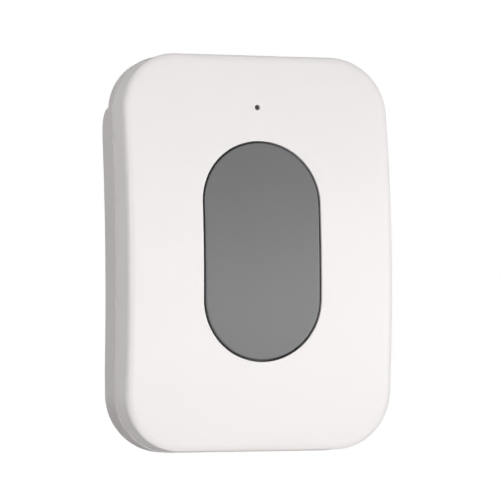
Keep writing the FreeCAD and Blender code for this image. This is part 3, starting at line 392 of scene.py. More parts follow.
inner_loop = walk(front_bm, face_loop, front_outline, wall_section)
print("places along the wall's section:", len(wall_section))

# %% Walk the opening and the pinhole
MOUTH_STEPS = 4
HOLE_STEPS = 8

mouth = opening_reach + OPENING_ROUND
opening_loop = draw(front_bm, opening_outline, mouth + HOLD, FRONT_Y)
opening_section = quarter(mouth, FRONT_Y, OPENING_ROUND, -1, 1, MOUTH_STEPS)
opening_section += [(opening_reach, FRONT_Y + OPENING_ROUND + HOLD), (opening_reach, INNER_Y)]
opening_inner = walk(front_bm, opening_loop, opening_outline, opening_section)

mouth = LIGHT_HOLE + OPENING_ROUND
light_loop = draw(front_bm, light_outline, mouth + HOLD, FRONT_Y, steps=HOLE_STEPS)
light_section = quarter(mouth, FRONT_Y, OPENING_ROUND, -1, 1, MOUTH_STEPS)
light_section += [(LIGHT_HOLE, FRONT_Y + OPENING_ROUND + HOLD), (LIGHT_HOLE, INNER_Y)]
light_inner = walk(front_bm, light_loop, light_outline, light_section)

fill(front_bm, [face_loop, opening_loop, light_loop])
fill(front_bm, [inner_loop, opening_inner, light_inner])
print("front cover, still flat:", len(front_bm.faces), "faces")

# %% [markdown]
# The cuts come next. Along the straight sides they are 1.5 mm apart. In the corners the outline's own
# points already follow the bow, so only the two flat faces are cut there, at the heights of those
# points. Last, the side wall gets its draft of one degree, which lets the part leave its mould.


# %% Cut and draft helpers
CUT_REACH = 1e-7


def cut_flat_face(bm, outline, reach, depth):
    """Cuts a flat face in the corners' height at the outline's own points."""
    for step in range(ARC_STEPS):
        height = outline.core_z + reach * math.sin(math.pi / 2 * step / ARC_STEPS)
        for level in (-height, height):
            faces = [
                face
                for face in bm.faces
                if all(abs(vert.co.y - depth) < SAME_DEPTH for vert in face.verts)
            ]
            edges = dict.fromkeys(edge for face in faces for edge in face.edges)
            verts = dict.fromkeys(vert for face in faces for vert in face.verts)
            geometry = faces + list(edges) + list(verts)
            bmesh.ops.bisect_plane(
                bm, geom=geometry, dist=CUT_REACH, plane_co=(0, 0, level), plane_no=(0, 0, 1)
            )


def add_draft(verts, outline, sense):
    """Leans an outer wall inwards, away from the depth where the covers meet."""
    for vert in verts:
        foot = outline.foot(vert.co)
        outwards = (vert.co - foot).normalized()
        vert.co += outwards * (vert.co.y - PARTING_Y) * DRAFT * sense


print("a wall leans in by", round(DRAFT * 10, 3), "mm in 10 mm")


# %% Surfaces of the front cover
def front_surface(z):
    return FRONT_Y + bow(FRONT_BOW, z)


def rim_surface(z):
    """The rim's lower edge: the rim is flatter at the two ends than along the sides."""
    into_end = (abs(z) - front_outline.core_z) / (FRONT_HALF_HEIGHT - front_outline.core_z)
    share = max(0.0, min(1.0, into_end))
    eased = share * share * (3 - 2 * share)
    return front_surface(z) + (RIM_DEPTH + HOLD) * (1 - END_FLATTER * eased)


def inner_surface(z):
    return INNER_Y + bow(FRONT_BOW - FRONT_WALL, z)


def parting_surface(z):
    return PARTING_Y + bow(PARTING_BOW, z)


def behind(surface, depth):
    """The surface that lies this much further back."""
    return lambda z: surface(z) + depth


front_surfaces = [
    (FRONT_Y, front_surface),
    (FRONT_Y + RIM_DEPTH + HOLD, rim_surface),
    (INNER_Y, inner_surface),
    (PARTING_Y - REBATE_DEPTH, behind(parting_surface, -REBATE_DEPTH)),
    (PARTING_Y, parting_surface),
]
print("surfaces from front to back:", len(front_surfaces))

# %% Lay the front cover on its bow
FACE_MARGIN = HOLD * 1.5

cut_flat_face(front_bm, front_outline, rim - HOLD, FRONT_Y)
cut_flat_face(front_bm, front_outline, FRONT_CORNER - SIDE_WALL, INNER_Y)
cut_strips(front_bm, even_levels(-front_outline.core_z, front_outline.core_z))
skin_reach = FRONT_CORNER - LIP_SKIN + HOLD
face_reach = rim - FACE_MARGIN
outer = [
    vert
    for vert in front_bm.verts
    if front_outline.reach(vert.co) > (face_reach if vert.co.y < INNER_Y else skin_reach)
]
lay(front_bm.verts, front_surfaces)
add_draft(outer, front_outline, 1)
print("front cover, bowed:", len(front_bm.faces), "faces")

# %% [markdown]
# Inside, the front cover carries everything: four bosses for the case's screws, two for the circuit
# board, four stakes that hold the carrier behind the key, and a short guide round the light pipe.
# Each is a turned shape, so it is walked from a circle in the same way, and rooted half way into
# the wall that it grows from. A section that comes back to its start gives a ring.


# %% Turned shapes
TURN_STEPS = 8


def turned(bm, x, z, section, steps=TURN_STEPS):
    """A closed turned shape along Y, from a section of (radius, depth) places."""
    radius, depth = section[0]
    outline = Outline(radius, radius, radius, x, z)
    first = draw(bm, outline, radius, depth, steps)
    last = walk(bm, first, outline, section[1:])
    if section[-1] != section[0]:
        fill(bm, [first])
        fill(bm, [last])


def root_depth(x, z, radius):
    """Half way into the front wall, where a boss of this radius begins."""
    return inner_surface(max(abs(z) - radius, 0.0)) - FRONT_WALL / 2


print("turned shapes have", TURN_STEPS, "steps to a quarter")

# %% Bosses for the case's screws
BOSS_X = 18.8 * MM
BOSS_Z = 30.3 * MM
BOSS_RADIUS = 2.6 * MM
BOSS_END = parting_surface(BOSS_Z)
PILOT_RADIUS = 1.12 * MM
TIP_ROOM = 0.3 * MM

pilot_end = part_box("case_screw_4")[0].y - TIP_ROOM
for x in (-BOSS_X, BOSS_X):
    for z in (-BOSS_Z, BOSS_Z):
        start = root_depth(x, z, BOSS_RADIUS)
        places = [(BOSS_RADIUS, start), (BOSS_RADIUS, BOSS_END), (PILOT_RADIUS, BOSS_END)]
        turned(front_bm, x, z, places + [(PILOT_RADIUS, pilot_end)])
print("case bosses end", round(BOSS_END / MM, 2), "mm from the wall")

# %% Bosses for the circuit board
BOARD_BOSS = 2.2 * MM
BOARD_PILOT = 0.87 * MM

board_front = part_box("circuit_board")[0].y
screw_low, screw_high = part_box("board_screw_2")
board_boss_x = (screw_low.x + screw_high.x) / 2
for x in (-board_boss_x, board_boss_x):
    places = [(BOARD_BOSS, root_depth(x, 0.0, 0.0)), (BOARD_BOSS, board_front)]
    places += [(BOARD_PILOT, board_front), (BOARD_PILOT, screw_low.y - TIP_ROOM)]
    turned(front_bm, x, 0.0, places)
print("board bosses are", round(board_boss_x * 2 / MM, 2), "mm apart")

# %% [markdown]
# A heat stake is a thin pin that stands through a hole of the carrier and is melted to a low head
# behind it. The guide of the light pipe holds the pipe's flange, and its bore goes on through the
# front wall to the pinhole.

# %% Stakes for the carrier
STAKE_INSET = 2.3 * MM
STAKE = 1.8 * MM
STAKE_PIN = 0.9 * MM
STAKE_HEAD = 1.3 * MM
HEAD_HEIGHT = 0.3 * MM
CARRIER_PLATE = 1.2 * MM

carrier_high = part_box("button_carrier")[1]
plate_front = carrier_high.y - CARRIER_PLATE
for side_x in (-1, 1):
    for side_z in (-1, 1):
        x = side_x * (carrier_high.x - STAKE_INSET)
        z = side_z * (carrier_high.z - STAKE_INSET)
        places = [(STAKE, root_depth(x, z, STAKE)), (STAKE, plate_front), (STAKE_PIN, plate_front)]
        places += [(STAKE_PIN, carrier_high.y), (STAKE_HEAD, carrier_high.y)]
        turned(front_bm, x, z, places + [(STAKE_HEAD, carrier_high.y + HEAD_HEIGHT)])
print("carrier plate begins at", round(plate_front / MM, 2), "mm")

# %% Guide of the light pipe
PIPE_FLANGE = 1.1 * MM
PIPE_SEAT = 0.05 * MM
GUIDE_HEIGHT = 1.0 * MM
GUIDE_RADIUS = 2.2 * MM
GUIDE_BORE = 1.5 * MM
BORE_MARGIN = 0.01 * MM
PIN_BORE = LIGHT_HOLE + BORE_MARGIN

flange_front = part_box("light_pipe")[1].y - PIPE_FLANGE
guide_root = root_depth(0.0, LIGHT_HEIGHT, GUIDE_RADIUS)
guide_section = [
    (PIN_BORE, guide_root),
    (GUIDE_RADIUS, guide_root),
    (GUIDE_RADIUS, flange_front + GUIDE_HEIGHT),
    (GUIDE_BORE, flange_front + GUIDE_HEIGHT),
    (GUIDE_BORE, flange_front - PIPE_SEAT),
    (PIN_BORE, flange_front - PIPE_SEAT),
    (PIN_BORE, guide_root),
]
turned(front_bm, 0.0, LIGHT_HEIGHT, guide_section)

front_cover = finish_shell(front_bm, "front_cover_shell")

# %% [markdown]
# ## The rear cover
# The rear cover stands out a quarter of a millimetre past the front one, which gives the bright line
# along the side. Its back is hollow along its length, with a flat land in the middle that touches
# the wall, and near the top it steps in over a quarter-round shoulder. The four recesses for the
# screw heads go through it. Its forward lip reaches inside the front cover.

# %% Sizes of the rear cover
BACK_HOLLOW = 1.2 * MM
THIN_DEPTH = 2.9 * MM
BACK_ROUND = 0.4 * MM
SHOULDER = 27.6 * MM
SHOULDER_FLAT = 0.15 * MM
SHOULDER_LAND = 1.5 * MM
STEP_WIDTH = 0.02 * MM
LAND_HALF_WIDTH = 15.0 * MM
LAND_HALF_HEIGHT = 18.0 * MM
LAND_CORNER = 4.0 * MM
LAND_DEPTH = 1.0 * MM
LAND_ROUND = 0.15 * MM
THIN_BOW = PARTING_BOW - THIN_DEPTH

rear_outline = Outline(REAR_HALF_WIDTH, REAR_HALF_HEIGHT, CASE_CORNER)
land_outline = Outline(LAND_HALF_WIDTH, LAND_HALF_HEIGHT, LAND_CORNER)
shoulder_round = -(PARTING_Y + THIN_DEPTH) - bow(THIN_BOW, SHOULDER) - SHOULDER_FLAT
hollow_reach = SHOULDER - shoulder_round - SHOULDER_LAND
back_bow = (hollow_reach ** 2 + BACK_HOLLOW ** 2) / (BACK_HOLLOW * 2)
print("shoulder's rounding:", round(shoulder_round / MM, 2), "mm")


# %% Profile of the back
HOLLOW_LIMIT = hollow_reach * 1.2  # past this height the back is flat, so the bow needs no more


def rear_profile(wall):
    """The back's surface as seen from the side, this far inside the wall."""
    step = SHOULDER - wall
    bend = shoulder_round - wall
    hollow_bow = back_bow + wall

    def surface(z):
        if z > step + STEP_WIDTH / 2:
            return PARTING_Y + THIN_DEPTH - wall + bow(THIN_BOW + wall, z)
        if z > step - bend:
            across = min(z - step + bend, bend)
            return -wall - bend + math.sqrt(bend * bend - across * across)
        fallen = bow(hollow_bow, min(abs(z), HOLLOW_LIMIT))
        return min(-wall, -wall - BACK_HOLLOW + fallen)

    return surface


back_surface = rear_profile(0.0)
back_inside = rear_profile(BACK_WALL)
print("back at mid height:", round(back_surface(0.0) / MM, 2), "mm")

# %% Walk the rear cover's outer wall
BACK_STEPS = 5
LIP_GAP = 0.1 * MM

rear_bm = bmesh.new()
rim = CASE_CORNER - BACK_ROUND
lip_reach = CASE_CORNER - LEDGE - LIP_SKIN - LIP_GAP
wall_reach = CASE_CORNER - SIDE_WALL
back_loop = draw(rear_bm, rear_outline, rim - HOLD, 0.0)
rear_section = quarter(rim, 0.0, BACK_ROUND, 1, -1, BACK_STEPS)
rear_section.append((CASE_CORNER, -BACK_ROUND - HOLD))
rear_section.append((CASE_CORNER, PARTING_Y + EDGE_ROUND + HOLD))
rear_section += [
    (CASE_CORNER - EDGE_ROUND * (1 - math.cos(angle)), PARTING_Y + EDGE_ROUND * (1 - math.sin(angle)))
    for angle in EDGE_ANGLES
]
rear_section.append((lip_reach, PARTING_Y))
rear_section.append((lip_reach, PARTING_Y - LIP_HEIGHT))
rear_section.append((wall_reach, PARTING_Y - LIP_HEIGHT))
rear_section.append((wall_reach, -BACK_WALL))
back_loops = [back_loop]
inside_loops = [walk(rear_bm, back_loop, rear_outline, rear_section)]
print("places along the wall's section:", len(rear_section))

# %% Walk the recesses and the land
RECESS = 2.3 * MM
LAND_STEPS = 3

for x in (-BOSS_X, BOSS_X):
    for z in (-BOSS_Z, BOSS_Z):
        recess_outline = Outline(RECESS, RECESS, RECESS, x, z)
        mouth = RECESS + LAND_ROUND
        recess_loop = draw(rear_bm, recess_outline, mouth, 0.0, steps=HOLE_STEPS)
        recess_section = quarter(mouth, 0.0, LAND_ROUND, -1, -1, LAND_STEPS)[1:]
        recess_section.append((RECESS, -BACK_WALL))
        back_loops.append(recess_loop)
        inside_loops.append(walk(rear_bm, recess_loop, recess_outline, recess_section))

land_reach = land_outline.corner
land_loop = draw(rear_bm, land_outline, land_reach, 0.0, steps=HOLE_STEPS)
land_top_round = quarter(land_reach - LAND_ROUND, LAND_DEPTH, LAND_ROUND, 1, -1, LAND_STEPS)
land_section = [(land_reach, LAND_DEPTH - LAND_ROUND)]
land_section += reversed(land_top_round[:LAND_STEPS])
land_top = walk(rear_bm, land_loop, land_outline, land_section)
fill(rear_bm, back_loops + [land_loop])
fill(rear_bm, inside_loops)
fill(rear_bm, [land_top])
print("rear cover, still flat:", len(rear_bm.faces), "faces")

# %% [markdown]
# The back has more forms than the front, so it is cut more closely where the shoulder bends, and
# the points of the outer wall are laid apart from those inside, because the shoulder's inner form
# is another one. The cuts just above and below a step are only 0.02 mm apart.

# %% Heights of the cuts
BEND_STEP = 10


def bend_levels(wall):
    """Heights that follow the shoulder's rounding, and its step."""
    step = SHOULDER - wall
    bend = shoulder_round - wall
    angles = [math.radians(angle) for angle in range(0, 91, BEND_STEP)]
    heights = [step - bend + bend * math.sin(angle) for angle in angles]
    return heights + [step + STEP_WIDTH]


def flat_surface(depth):
    return lambda z: depth


levels = even_levels(-rear_outline.core_z, SHOULDER - shoulder_round)
levels += bend_levels(0.0) + bend_levels(BACK_WALL)
levels += [-hollow_reach, hollow_reach]
print("cuts through the rear cover:", len(levels))

# %% Lay the rear cover on its surfaces
cut_flat_face(rear_bm, rear_outline, rim - HOLD, 0.0)
cut_flat_face(rear_bm, rear_outline, wall_reach, -BACK_WALL)
cut_strips(rear_bm, sorted(levels))

lip_front = (PARTING_Y - LIP_HEIGHT, behind(parting_surface, -LIP_HEIGHT))
parting = (PARTING_Y, parting_surface)
below_rim = (-BACK_ROUND - HOLD, behind(back_surface, -BACK_ROUND - HOLD))
outer = [vert for vert in rear_bm.verts if rear_outline.reach(vert.co) > wall_reach + HOLD]
inner = [vert for vert in rear_bm.verts if rear_outline.reach(vert.co) <= wall_reach + HOLD]
lay(outer, [lip_front, parting, below_rim, (0.0, back_surface)])
lay(inner, [
    lip_front,
    parting,
    (-BACK_WALL, back_inside),
    (0.0, back_surface),
    (LAND_DEPTH - LAND_ROUND, flat_surface(-LAND_ROUND)),
    (LAND_DEPTH, flat_surface(0.0)),
])
wall = [vert for vert in outer if rear_outline.reach(vert.co) > rim - FACE_MARGIN]
add_draft(wall, rear_outline, -1)
print("rear cover, laid:", len(rear_bm.faces), "faces")

# %% Bosses round the screw heads
BOSS_GAP = 0.1 * MM
SCREW_FLOOR = 1.2 * MM
SHANK_HOLE = 1.2 * MM
HEAD_BOSS = 3.3 * MM
boss_front = BOSS_END + BOSS_GAP
seat = boss_front + SCREW_FLOOR
for x in (-BOSS_X, BOSS_X):
    for z in (-BOSS_Z, BOSS_Z):
        root = back_surface(z) - BACK_WALL / 2
        bore = RECESS + BORE_MARGIN
        ring = [(bore, root), (HEAD_BOSS, root), (HEAD_BOSS, boss_front), (SHANK_HOLE, boss_front)]
        ring += [(SHANK_HOLE, seat), (bore, seat), (bore, root)]
        turned(rear_bm, x, z, ring)

rear_cover = finish_shell(rear_bm, "rear_cover_shell")

# %% [markdown]
# ## The grey key
# The key is a long cap with half-round ends. Its face continues the bow of the front cover, so the two
# lie flush, and its rim is only just broken, so the grey stays even up to the dark gap. A flange
# behind keeps it in the case. It is hollow from behind, down to a flat roof that the push switch
# touches.

# %% Walk the key's wall
KEY_ROUND = 0.2 * MM
KEY_FLANGE = 1.2 * MM
KEY_WALL = 1.6 * MM
KEY_STEPS = 8
ROOF_DEPTH = 2.15 * MM
FLANGE_GAP = 0.15 * MM
ROOF_Y = FRONT_Y + ROOF_DEPTH
FLANGE_Y = INNER_Y + FLANGE_GAP
FLANGE_BOW = FRONT_BOW - FRONT_WALL - FLANGE_GAP

key_outline = Outline(KEY_HALF_WIDTH, KEY_HALF_HEIGHT, KEY_HALF_WIDTH)
key_bm = bmesh.new()
rim = KEY_HALF_WIDTH - KEY_ROUND
key_loop = draw(key_bm, key_outline, rim - HOLD, FRONT_Y)
key_section = quarter(rim, FRONT_Y, KEY_ROUND, 1, 1, KEY_STEPS)
key_section += [
    (KEY_HALF_WIDTH, FRONT_Y + KEY_ROUND + HOLD),
    (KEY_HALF_WIDTH, FLANGE_Y),
    (KEY_HALF_WIDTH + KEY_FLANGE, FLANGE_Y),
    (KEY_HALF_WIDTH + KEY_FLANGE, KEY_BACK_Y),
    (KEY_HALF_WIDTH - KEY_WALL, KEY_BACK_Y),
    (KEY_HALF_WIDTH - KEY_WALL, ROOF_Y),
]
roof_loop = walk(key_bm, key_loop, key_outline, key_section)
fill(key_bm, [key_loop])
fill(key_bm, [roof_loop])
print("key, still flat:", len(key_bm.faces), "faces")

# %% Lay the key on the bow
cut_flat_face(key_bm, key_outline, rim - HOLD, FRONT_Y)
cut_strips(key_bm, even_levels(-key_outline.core_z, key_outline.core_z))
lay(key_bm.verts, [
    (FRONT_Y, front_surface),
    (FRONT_Y + KEY_ROUND + HOLD, behind(front_surface, KEY_ROUND + HOLD)),
    (FLANGE_Y, lambda z: FLANGE_Y + bow(FLANGE_BOW, z)),
    (ROOF_Y, flat_surface(ROOF_Y)),
    (KEY_BACK_Y, flat_surface(KEY_BACK_Y)),
])
grey_key = finish_shell(key_bm, "grey_key_cap")

# %% [markdown]
# ## Dressing the frame
# The three smooth shells take the places of the plain solids. Each one rides on the same body as the
# solid that it stands for, so the key still moves when it is pressed.

# %% Put the shells in place
STANDS_FOR = {
    "front_cover": (front_cover, "case", "front_shell"),
    "rear_cover": (rear_cover, "case", "rear_shell"),
    "panic_button": (grey_key, "button", "grey_key"),
}
for node_name, (piece, body, slot) in STANDS_FOR.items():
    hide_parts(node_name)
    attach(piece, body)
print("smooth shells:", len(STANDS_FOR))

# %% [markdown]
# The two return springs stand between the fixed carrier and the moving key, and the snap dome stands
# between the floor of the switch and its plunger. Left stiff, they would be cut through when the
# key goes in. So each gets a piece of its own, a copy of the solid's mesh with its place baked in.

# %% Copy the springs and the dome
GIVES_WAY = {
    "return_spring_lower": ("lower_spring_coil", "button", "spring_wire"),
    "return_spring_upper": ("upper_spring_coil", "button", "spring_wire"),
    "switch_dome": ("snap_dome_sheet", "plunger", "tinned_sheet"),
}
springy = {}
for node_name, (name, presser, slot) in GIVES_WAY.items():
    piece = bpy.data.objects.new(name, frame["nodes"][node_name].data.copy())
    bpy.context.scene.collection.objects.link(piece)
    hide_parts(node_name)
    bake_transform(piece)
    springy[node_name] = piece
print("pieces that give way:", len(springy))

# %% [markdown]
# ## Finishes
# A moulded or rolled surface is never one flat colour. Close up, a mould leaves a fine grain, the
# colour drifts a little over centimetres, and the gloss isn't quite even. So each finish is built
# from two noises: a broad one moves the colour, and a fine one moves the gloss and raises the grain
# through a bump. Both read object coordinates in metres, so a grain has its real size.


# %% Finish and noise helpers
def new_finish(name):
    """A material with only its Principled shader, and the tree that it is in."""
    material = bpy.data.materials.new(name)
    material.use_nodes = True
    tree = material.node_tree
    return material, tree, tree.nodes["Principled BSDF"]


def add_noise(tree, grain, detail=3.0, stretch=(1.0, 1.0, 1.0)):
    """A noise whose lumps are about this wide, in metres."""
    coords = tree.nodes.new("ShaderNodeTexCoord")
    mapping = tree.nodes.new("ShaderNodeMapping")
    mapping.inputs["Scale"].default_value = stretch
    noise = tree.nodes.new("ShaderNodeTexNoise")
    noise.inputs["Scale"].default_value = 1.0 / grain
    noise.inputs["Detail"].default_value = detail
    tree.links.new(coords.outputs["Object"], mapping.inputs["Vector"])
    tree.links.new(mapping.outputs["Vector"], noise.inputs["Vector"])
    return noise.outputs["Fac"]


print("finish and noise helpers are ready")

# %% Range, colour and bump helpers
NOISE_LOW = 0.3
NOISE_HIGH = 0.7


def add_range(tree, source, low, high):
    """Spreads the middle of a noise over this range."""
    spread = tree.nodes.new("ShaderNodeMapRange")
    spread.inputs["From Min"].default_value = NOISE_LOW
    spread.inputs["From Max"].default_value = NOISE_HIGH
    spread.inputs["To Min"].default_value = low
    spread.inputs["To Max"].default_value = high
    tree.links.new(source, spread.inputs["Value"])
    return spread.outputs["Result"]


def add_colour_drift(tree, source, colour, drift):
    """Mixes a slightly darker and a slightly lighter colour by a noise."""
    mix = tree.nodes.new("ShaderNodeMix")
    mix.data_type = "RGBA"
    mix.inputs["A"].default_value = [channel * (1 - drift) for channel in colour] + [1.0]
    mix.inputs["B"].default_value = [min(channel * (1 + drift), 1.0) for channel in colour] + [1.0]
    tree.links.new(add_range(tree, source, 0.0, 1.0), mix.inputs["Factor"])
    return mix.outputs["Result"]


def add_bump(tree, shader, source, height):
    """Raises the surface by a noise, by this height in metres."""
    bump = tree.nodes.new("ShaderNodeBump")
    bump.inputs["Distance"].default_value = height
    bump.inputs["Strength"].default_value = 1.0
    tree.links.new(source, bump.inputs["Height"])
    tree.links.new(bump.outputs["Normal"], shader.inputs["Normal"])


print("most of a noise lies between", NOISE_LOW, "and", NOISE_HIGH)


# %% One recipe for most of the finishes
BROAD = 14 * MM


def make_finish(name, colour, drift, gloss, grain, height, metal=0.0, stretch=(1.0, 1.0, 1.0)):
    """A finish with colour drift, uneven gloss between two roughnesses, and a grain."""
    material, tree, shader = new_finish(name)
    shader.inputs["Metallic"].default_value = metal
    broad = add_noise(tree, BROAD)
    fine = add_noise(tree, grain, stretch=stretch)
    tree.links.new(add_colour_drift(tree, broad, colour, drift), shader.inputs["Base Color"])
    tree.links.new(add_range(tree, fine, *gloss), shader.inputs["Roughness"])
    add_bump(tree, shader, fine, height)
    return material


print("broad noise:", BROAD / MM, "mm")

# %% [markdown]
# ### The white case
# The case is white ABS with a satin mould finish. Its colour is a warm white, a touch pinker than paper,
# and the rear cover's white is painted darker as shade on its side wall.
# The grain of such a mould is a few tenths of a millimetre wide and only microns deep, so it
# softens reflections without showing as a pattern.

# %% White and grey plastics
finishes = {
    "front_shell": make_finish(
        "white_front", (0.855, 0.822, 0.813), 0.006, (0.40, 0.50), 0.35 * MM, 0.004 * MM
    ),
    # The rear cover's colour is darker than the front's: painted shade that stands for the dimmer light
    # on the rear side wall.
    "rear_shell": make_finish(
        "white_rear_painted_shade", (0.700, 0.664, 0.658), 0.008, (0.42, 0.52), 0.35 * MM, 0.004 * MM
    ),
    "grey_key": make_finish(
        "grey_key", (0.138, 0.138, 0.141), 0.02, (0.30, 0.38), 0.30 * MM, 0.006 * MM
    ),
}
print("outer finishes:", len(finishes))

# %% [markdown]
# ### Inside the case
# Inside are common electronics finishes: matt black and white plastics, a green board, tinned steel,
# nickel, copper and a rubber seal. Rolled metals get a grain that is stretched along the sheet.

# %% Inner plastics and rubber
inner_plastics = {
    "black_plastic": ((0.022, 0.022, 0.024), 0.10, (0.42, 0.58), 0.25 * MM, 0.008 * MM),
    "grey_rubber": ((0.085, 0.085, 0.088), 0.06, (0.65, 0.82), 0.40 * MM, 0.015 * MM),
    "plunger_plastic": ((0.030, 0.030, 0.032), 0.08, (0.30, 0.42), 0.25 * MM, 0.004 * MM),
    "chip_black": ((0.018, 0.018, 0.020), 0.12, (0.45, 0.60), 0.12 * MM, 0.006 * MM),
    "capacitor_tan": ((0.42, 0.29, 0.17), 0.08, (0.35, 0.50), 0.10 * MM, 0.004 * MM),
    "led_white": ((0.80, 0.78, 0.66), 0.03, (0.25, 0.35), 0.20 * MM, 0.002 * MM),
}
for slot, recipe in inner_plastics.items():
    finishes[slot] = make_finish(slot, *recipe)
print("inner plastics:", len(inner_plastics))

# %% Metals
BRUSHED = (1.0, 1.0, 0.12)
metals = {
    "cell_can": ((0.66, 0.65, 0.63), 0.02, (0.20, 0.34), 0.20 * MM, 0.002 * MM),
    "tinned_sheet": ((0.62, 0.62, 0.61), 0.04, (0.28, 0.42), 0.25 * MM, 0.003 * MM),
    "nickel_contact": ((0.66, 0.62, 0.55), 0.03, (0.22, 0.36), 0.20 * MM, 0.002 * MM),
    "copper_wire": ((0.78, 0.40, 0.24), 0.05, (0.22, 0.36), 0.15 * MM, 0.002 * MM),
    "spring_wire": ((0.56, 0.56, 0.57), 0.03, (0.20, 0.34), 0.10 * MM, 0.002 * MM),
    "screw_steel": ((0.52, 0.52, 0.51), 0.05, (0.26, 0.40), 0.15 * MM, 0.003 * MM),
}
for slot, recipe in metals.items():
    finishes[slot] = make_finish(slot, *recipe, metal=1.0, stretch=BRUSHED)
print("metals:", len(metals))

# %% [markdown]
# The circuit board is green solder mask over copper tracks. The tracks show through as slightly
# lighter, raised bands, which a brick pattern gives at the right size without drawing a real circuit.

# %% Green circuit board
TRACK_LENGTH = 6.5 * MM
TRACK_SPACING = 1.9 * MM
TRACK_GAP = 0.22 * MM
TRACK_HEIGHT = 0.02 * MM
BOARD_GRAIN = 3 * MM

board_finish, board_tree, board_shader = new_finish("green_board")
board_coords = board_tree.nodes.new("ShaderNodeTexCoord")
board_turn = board_tree.nodes.new("ShaderNodeMapping")
board_turn.inputs["Rotation"].default_value = (math.pi / 2, 0.0, 0.0)
tracks = board_tree.nodes.new("ShaderNodeTexBrick")
tracks.inputs["Scale"].default_value = 1.0
tracks.inputs["Brick Width"].default_value = TRACK_LENGTH
tracks.inputs["Row Height"].default_value = TRACK_SPACING
tracks.inputs["Mortar Size"].default_value = TRACK_GAP
tracks.inputs["Mortar Smooth"].default_value = 0.1
tracks.inputs["Color1"].default_value = (0.010, 0.115, 0.040, 1.0)
tracks.inputs["Color2"].default_value = (0.013, 0.135, 0.047, 1.0)
tracks.inputs["Mortar"].default_value = (0.030, 0.210, 0.075, 1.0)
board_tree.links.new(board_coords.outputs["Object"], board_turn.inputs["Vector"])
board_tree.links.new(board_turn.outputs["Vector"], tracks.inputs["Vector"])
board_tree.links.new(tracks.outputs["Color"], board_shader.inputs["Base Color"])
board_gloss = add_range(board_tree, add_noise(board_tree, BOARD_GRAIN), 0.25, 0.38)
board_tree.links.new(board_gloss, board_shader.inputs["Roughness"])
add_bump(board_tree, board_shader, tracks.outputs["Fac"], TRACK_HEIGHT)
finishes["green_board"] = board_finish
print("board tracks are", round(TRACK_SPACING / MM, 2), "mm apart")

# %% [markdown]
# The light pipe is clear acrylic. Clear plastic is mostly its shape and its polish, so it lets light
# through, and only the gloss and a very slight waviness vary.

# %% Clear light pipe
ACRYLIC_IOR = 1.49
PIPE_GRAIN = 0.6 * MM
PIPE_WAVE = 0.003 * MM

pipe_finish, pipe_tree, pipe_shader = new_finish("clear_pipe")
pipe_shader.inputs["Transmission Weight"].default_value = 1.0
pipe_shader.inputs["IOR"].default_value = ACRYLIC_IOR
pipe_wave = add_noise(pipe_tree, PIPE_GRAIN)
pipe_colour = add_colour_drift(pipe_tree, pipe_wave, (0.88, 0.93, 0.90), 0.03)
pipe_tree.links.new(pipe_colour, pipe_shader.inputs["Base Color"])
pipe_tree.links.new(add_range(pipe_tree, pipe_wave, 0.10, 0.20), pipe_shader.inputs["Roughness"])
add_bump(pipe_tree, pipe_shader, pipe_wave, PIPE_WAVE)
finishes["clear_pipe"] = pipe_finish
print("finishes in all:", len(finishes))

# %% [markdown]
# Every solid of the frame names the slot of its finish, so one pass dresses them all.

# %% Give each piece its finish
def dress(piece, material):
    """Puts one finish on every face of a piece."""
    slots = piece.material_slots
    if not slots:
        piece.data.materials.append(material)
    for slot in slots:
        slot.material = material


shells = {name: entry[0] for name, entry in STANDS_FOR.items()}
shells.update(springy)
for part in frame["record"]["subparts"]:
    name = part["node"]
    finish = finishes[part["material_slot"]]
    dress(frame["nodes"][name], finish)
    if name in shells:
        dress(shells[name], finish)

# %% [markdown]
# ## Floor, backdrop and light
# The photograph shows the button alone before plain white. It hangs on a wall in use, so here it hangs
# a little above a pale floor, which takes its soft shadow. The backdrop is the world itself: white
# to the camera and in reflections, but only a weak light on the object.

# %% Pale floor
FLOOR_Z = -0.30
FLOOR_HALF = 4.0
FLOOR_GLOW = 0.5
FLOOR_GRAIN = 80 * MM

floor_bm = bmesh.new()
bmesh.ops.create_grid(floor_bm, x_segments=1, y_segments=1, size=FLOOR_HALF)
bmesh.ops.translate(floor_bm, vec=(0.0, 0.0, FLOOR_Z), verts=floor_bm.verts)
floor_mesh = bpy.data.meshes.new("floor")
floor_bm.to_mesh(floor_mesh)
floor_bm.free()
floor = bpy.data.objects.new("floor", floor_mesh)
bpy.context.scene.collection.objects.link(floor)

floor_finish, floor_tree, floor_shader = new_finish("pale_floor")
floor_shader.inputs["Roughness"].default_value = 0.9
floor_shader.inputs["Emission Color"].default_value = (1.0, 1.0, 1.0, 1.0)
floor_noise = add_noise(floor_tree, FLOOR_GRAIN)
floor_colour = add_colour_drift(floor_tree, floor_noise, (0.86, 0.86, 0.86), 0.01)
floor_tree.links.new(floor_colour, floor_shader.inputs["Base Color"])
floor_rays = floor_tree.nodes.new("ShaderNodeLightPath")
floor_glow = floor_tree.nodes.new("ShaderNodeMath")
floor_glow.operation = "MULTIPLY"
floor_glow.inputs[1].default_value = FLOOR_GLOW
floor_tree.links.new(floor_rays.outputs["Is Camera Ray"], floor_glow.inputs[0])
floor_tree.links.new(floor_glow.outputs[0], floor_shader.inputs["Emission Strength"])
dress(floor, floor_finish)
print("floor", round(-FLOOR_Z / MM), "mm below the middle of the button")

# %% White backdrop
WORLD_LIGHT = 0.06

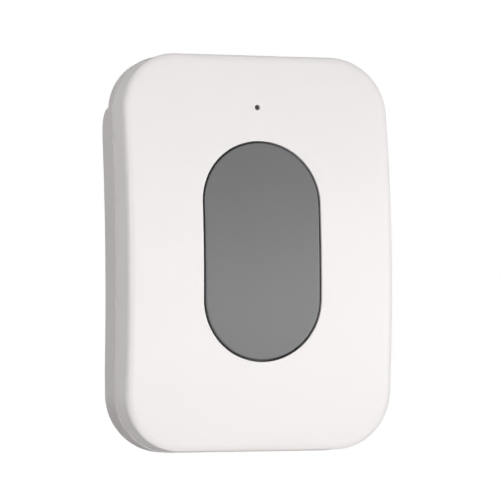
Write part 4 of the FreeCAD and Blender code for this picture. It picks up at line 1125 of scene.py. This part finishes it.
world = bpy.data.worlds.new("backdrop")
world.use_nodes = True
bpy.context.scene.world = world
world_tree = world.node_tree
background = world_tree.nodes["Background"]
background.inputs["Color"].default_value = (1.0, 1.0, 1.0, 1.0)
world_rays = world_tree.nodes.new("ShaderNodeLightPath")
seen = world_tree.nodes.new("ShaderNodeMath")
seen.operation = "MAXIMUM"
seen_or_through = world_tree.nodes.new("ShaderNodeMath")
seen_or_through.operation = "MAXIMUM"
seen_or_lit = world_tree.nodes.new("ShaderNodeMath")
seen_or_lit.operation = "MAXIMUM"
seen_or_lit.inputs[1].default_value = WORLD_LIGHT
world_tree.links.new(world_rays.outputs["Is Camera Ray"], seen.inputs[0])
world_tree.links.new(world_rays.outputs["Is Glossy Ray"], seen.inputs[1])
world_tree.links.new(seen.outputs[0], seen_or_through.inputs[0])
world_tree.links.new(world_rays.outputs["Is Transmission Ray"], seen_or_through.inputs[1])
world_tree.links.new(seen_or_through.outputs[0], seen_or_lit.inputs[0])
world_tree.links.new(seen_or_lit.outputs[0], background.inputs["Strength"])
print("world light on the object:", WORLD_LIGHT)

# %% [markdown]
# Six softboxes stand round the button, in the order of the list. The main one is on the right of the
# front, so that side of the front is the brightest. A low one beside it makes the bowed front a
# little brighter towards its lower end. The next two are weak and only lift the right edge and the
# top. The left one lights the side wall to about half of the front and catches the ledge between
# the covers. The rear one keeps the back readable.


# %% Softboxes
LIGHT_DISTANCE = 0.8
LIGHT_SIZE = 0.35


def add_softbox(name, angle, height, power):
    """A square light at this angle round the object and above it, aimed at its middle."""
    data = bpy.data.lights.new(name, "AREA")
    data.shape = "SQUARE"
    data.size = LIGHT_SIZE
    data.energy = power
    softbox = bpy.data.objects.new(name, data)
    round_by, up_by = math.radians(angle), math.radians(height)
    level = math.cos(up_by)
    towards = Vector((math.sin(round_by) * level, -math.cos(round_by) * level, math.sin(up_by)))
    softbox.location = towards * LIGHT_DISTANCE
    softbox.rotation_euler = (-towards).to_track_quat("-Z", "Y").to_euler()
    bpy.context.scene.collection.objects.link(softbox)
    return softbox


softboxes = [
    add_softbox("right_light", 40, -3, 2.5),
    add_softbox("low_light", 22, -10, 1.08),
    add_softbox("side_light", 75, 10, 0.6),
    add_softbox("high_light", 0, 45, 0.45),
    add_softbox("left_light", -50, 9, 2.75),
    add_softbox("rear_light", 162, 3, 2.2),
]
print("softboxes:", len(softboxes))
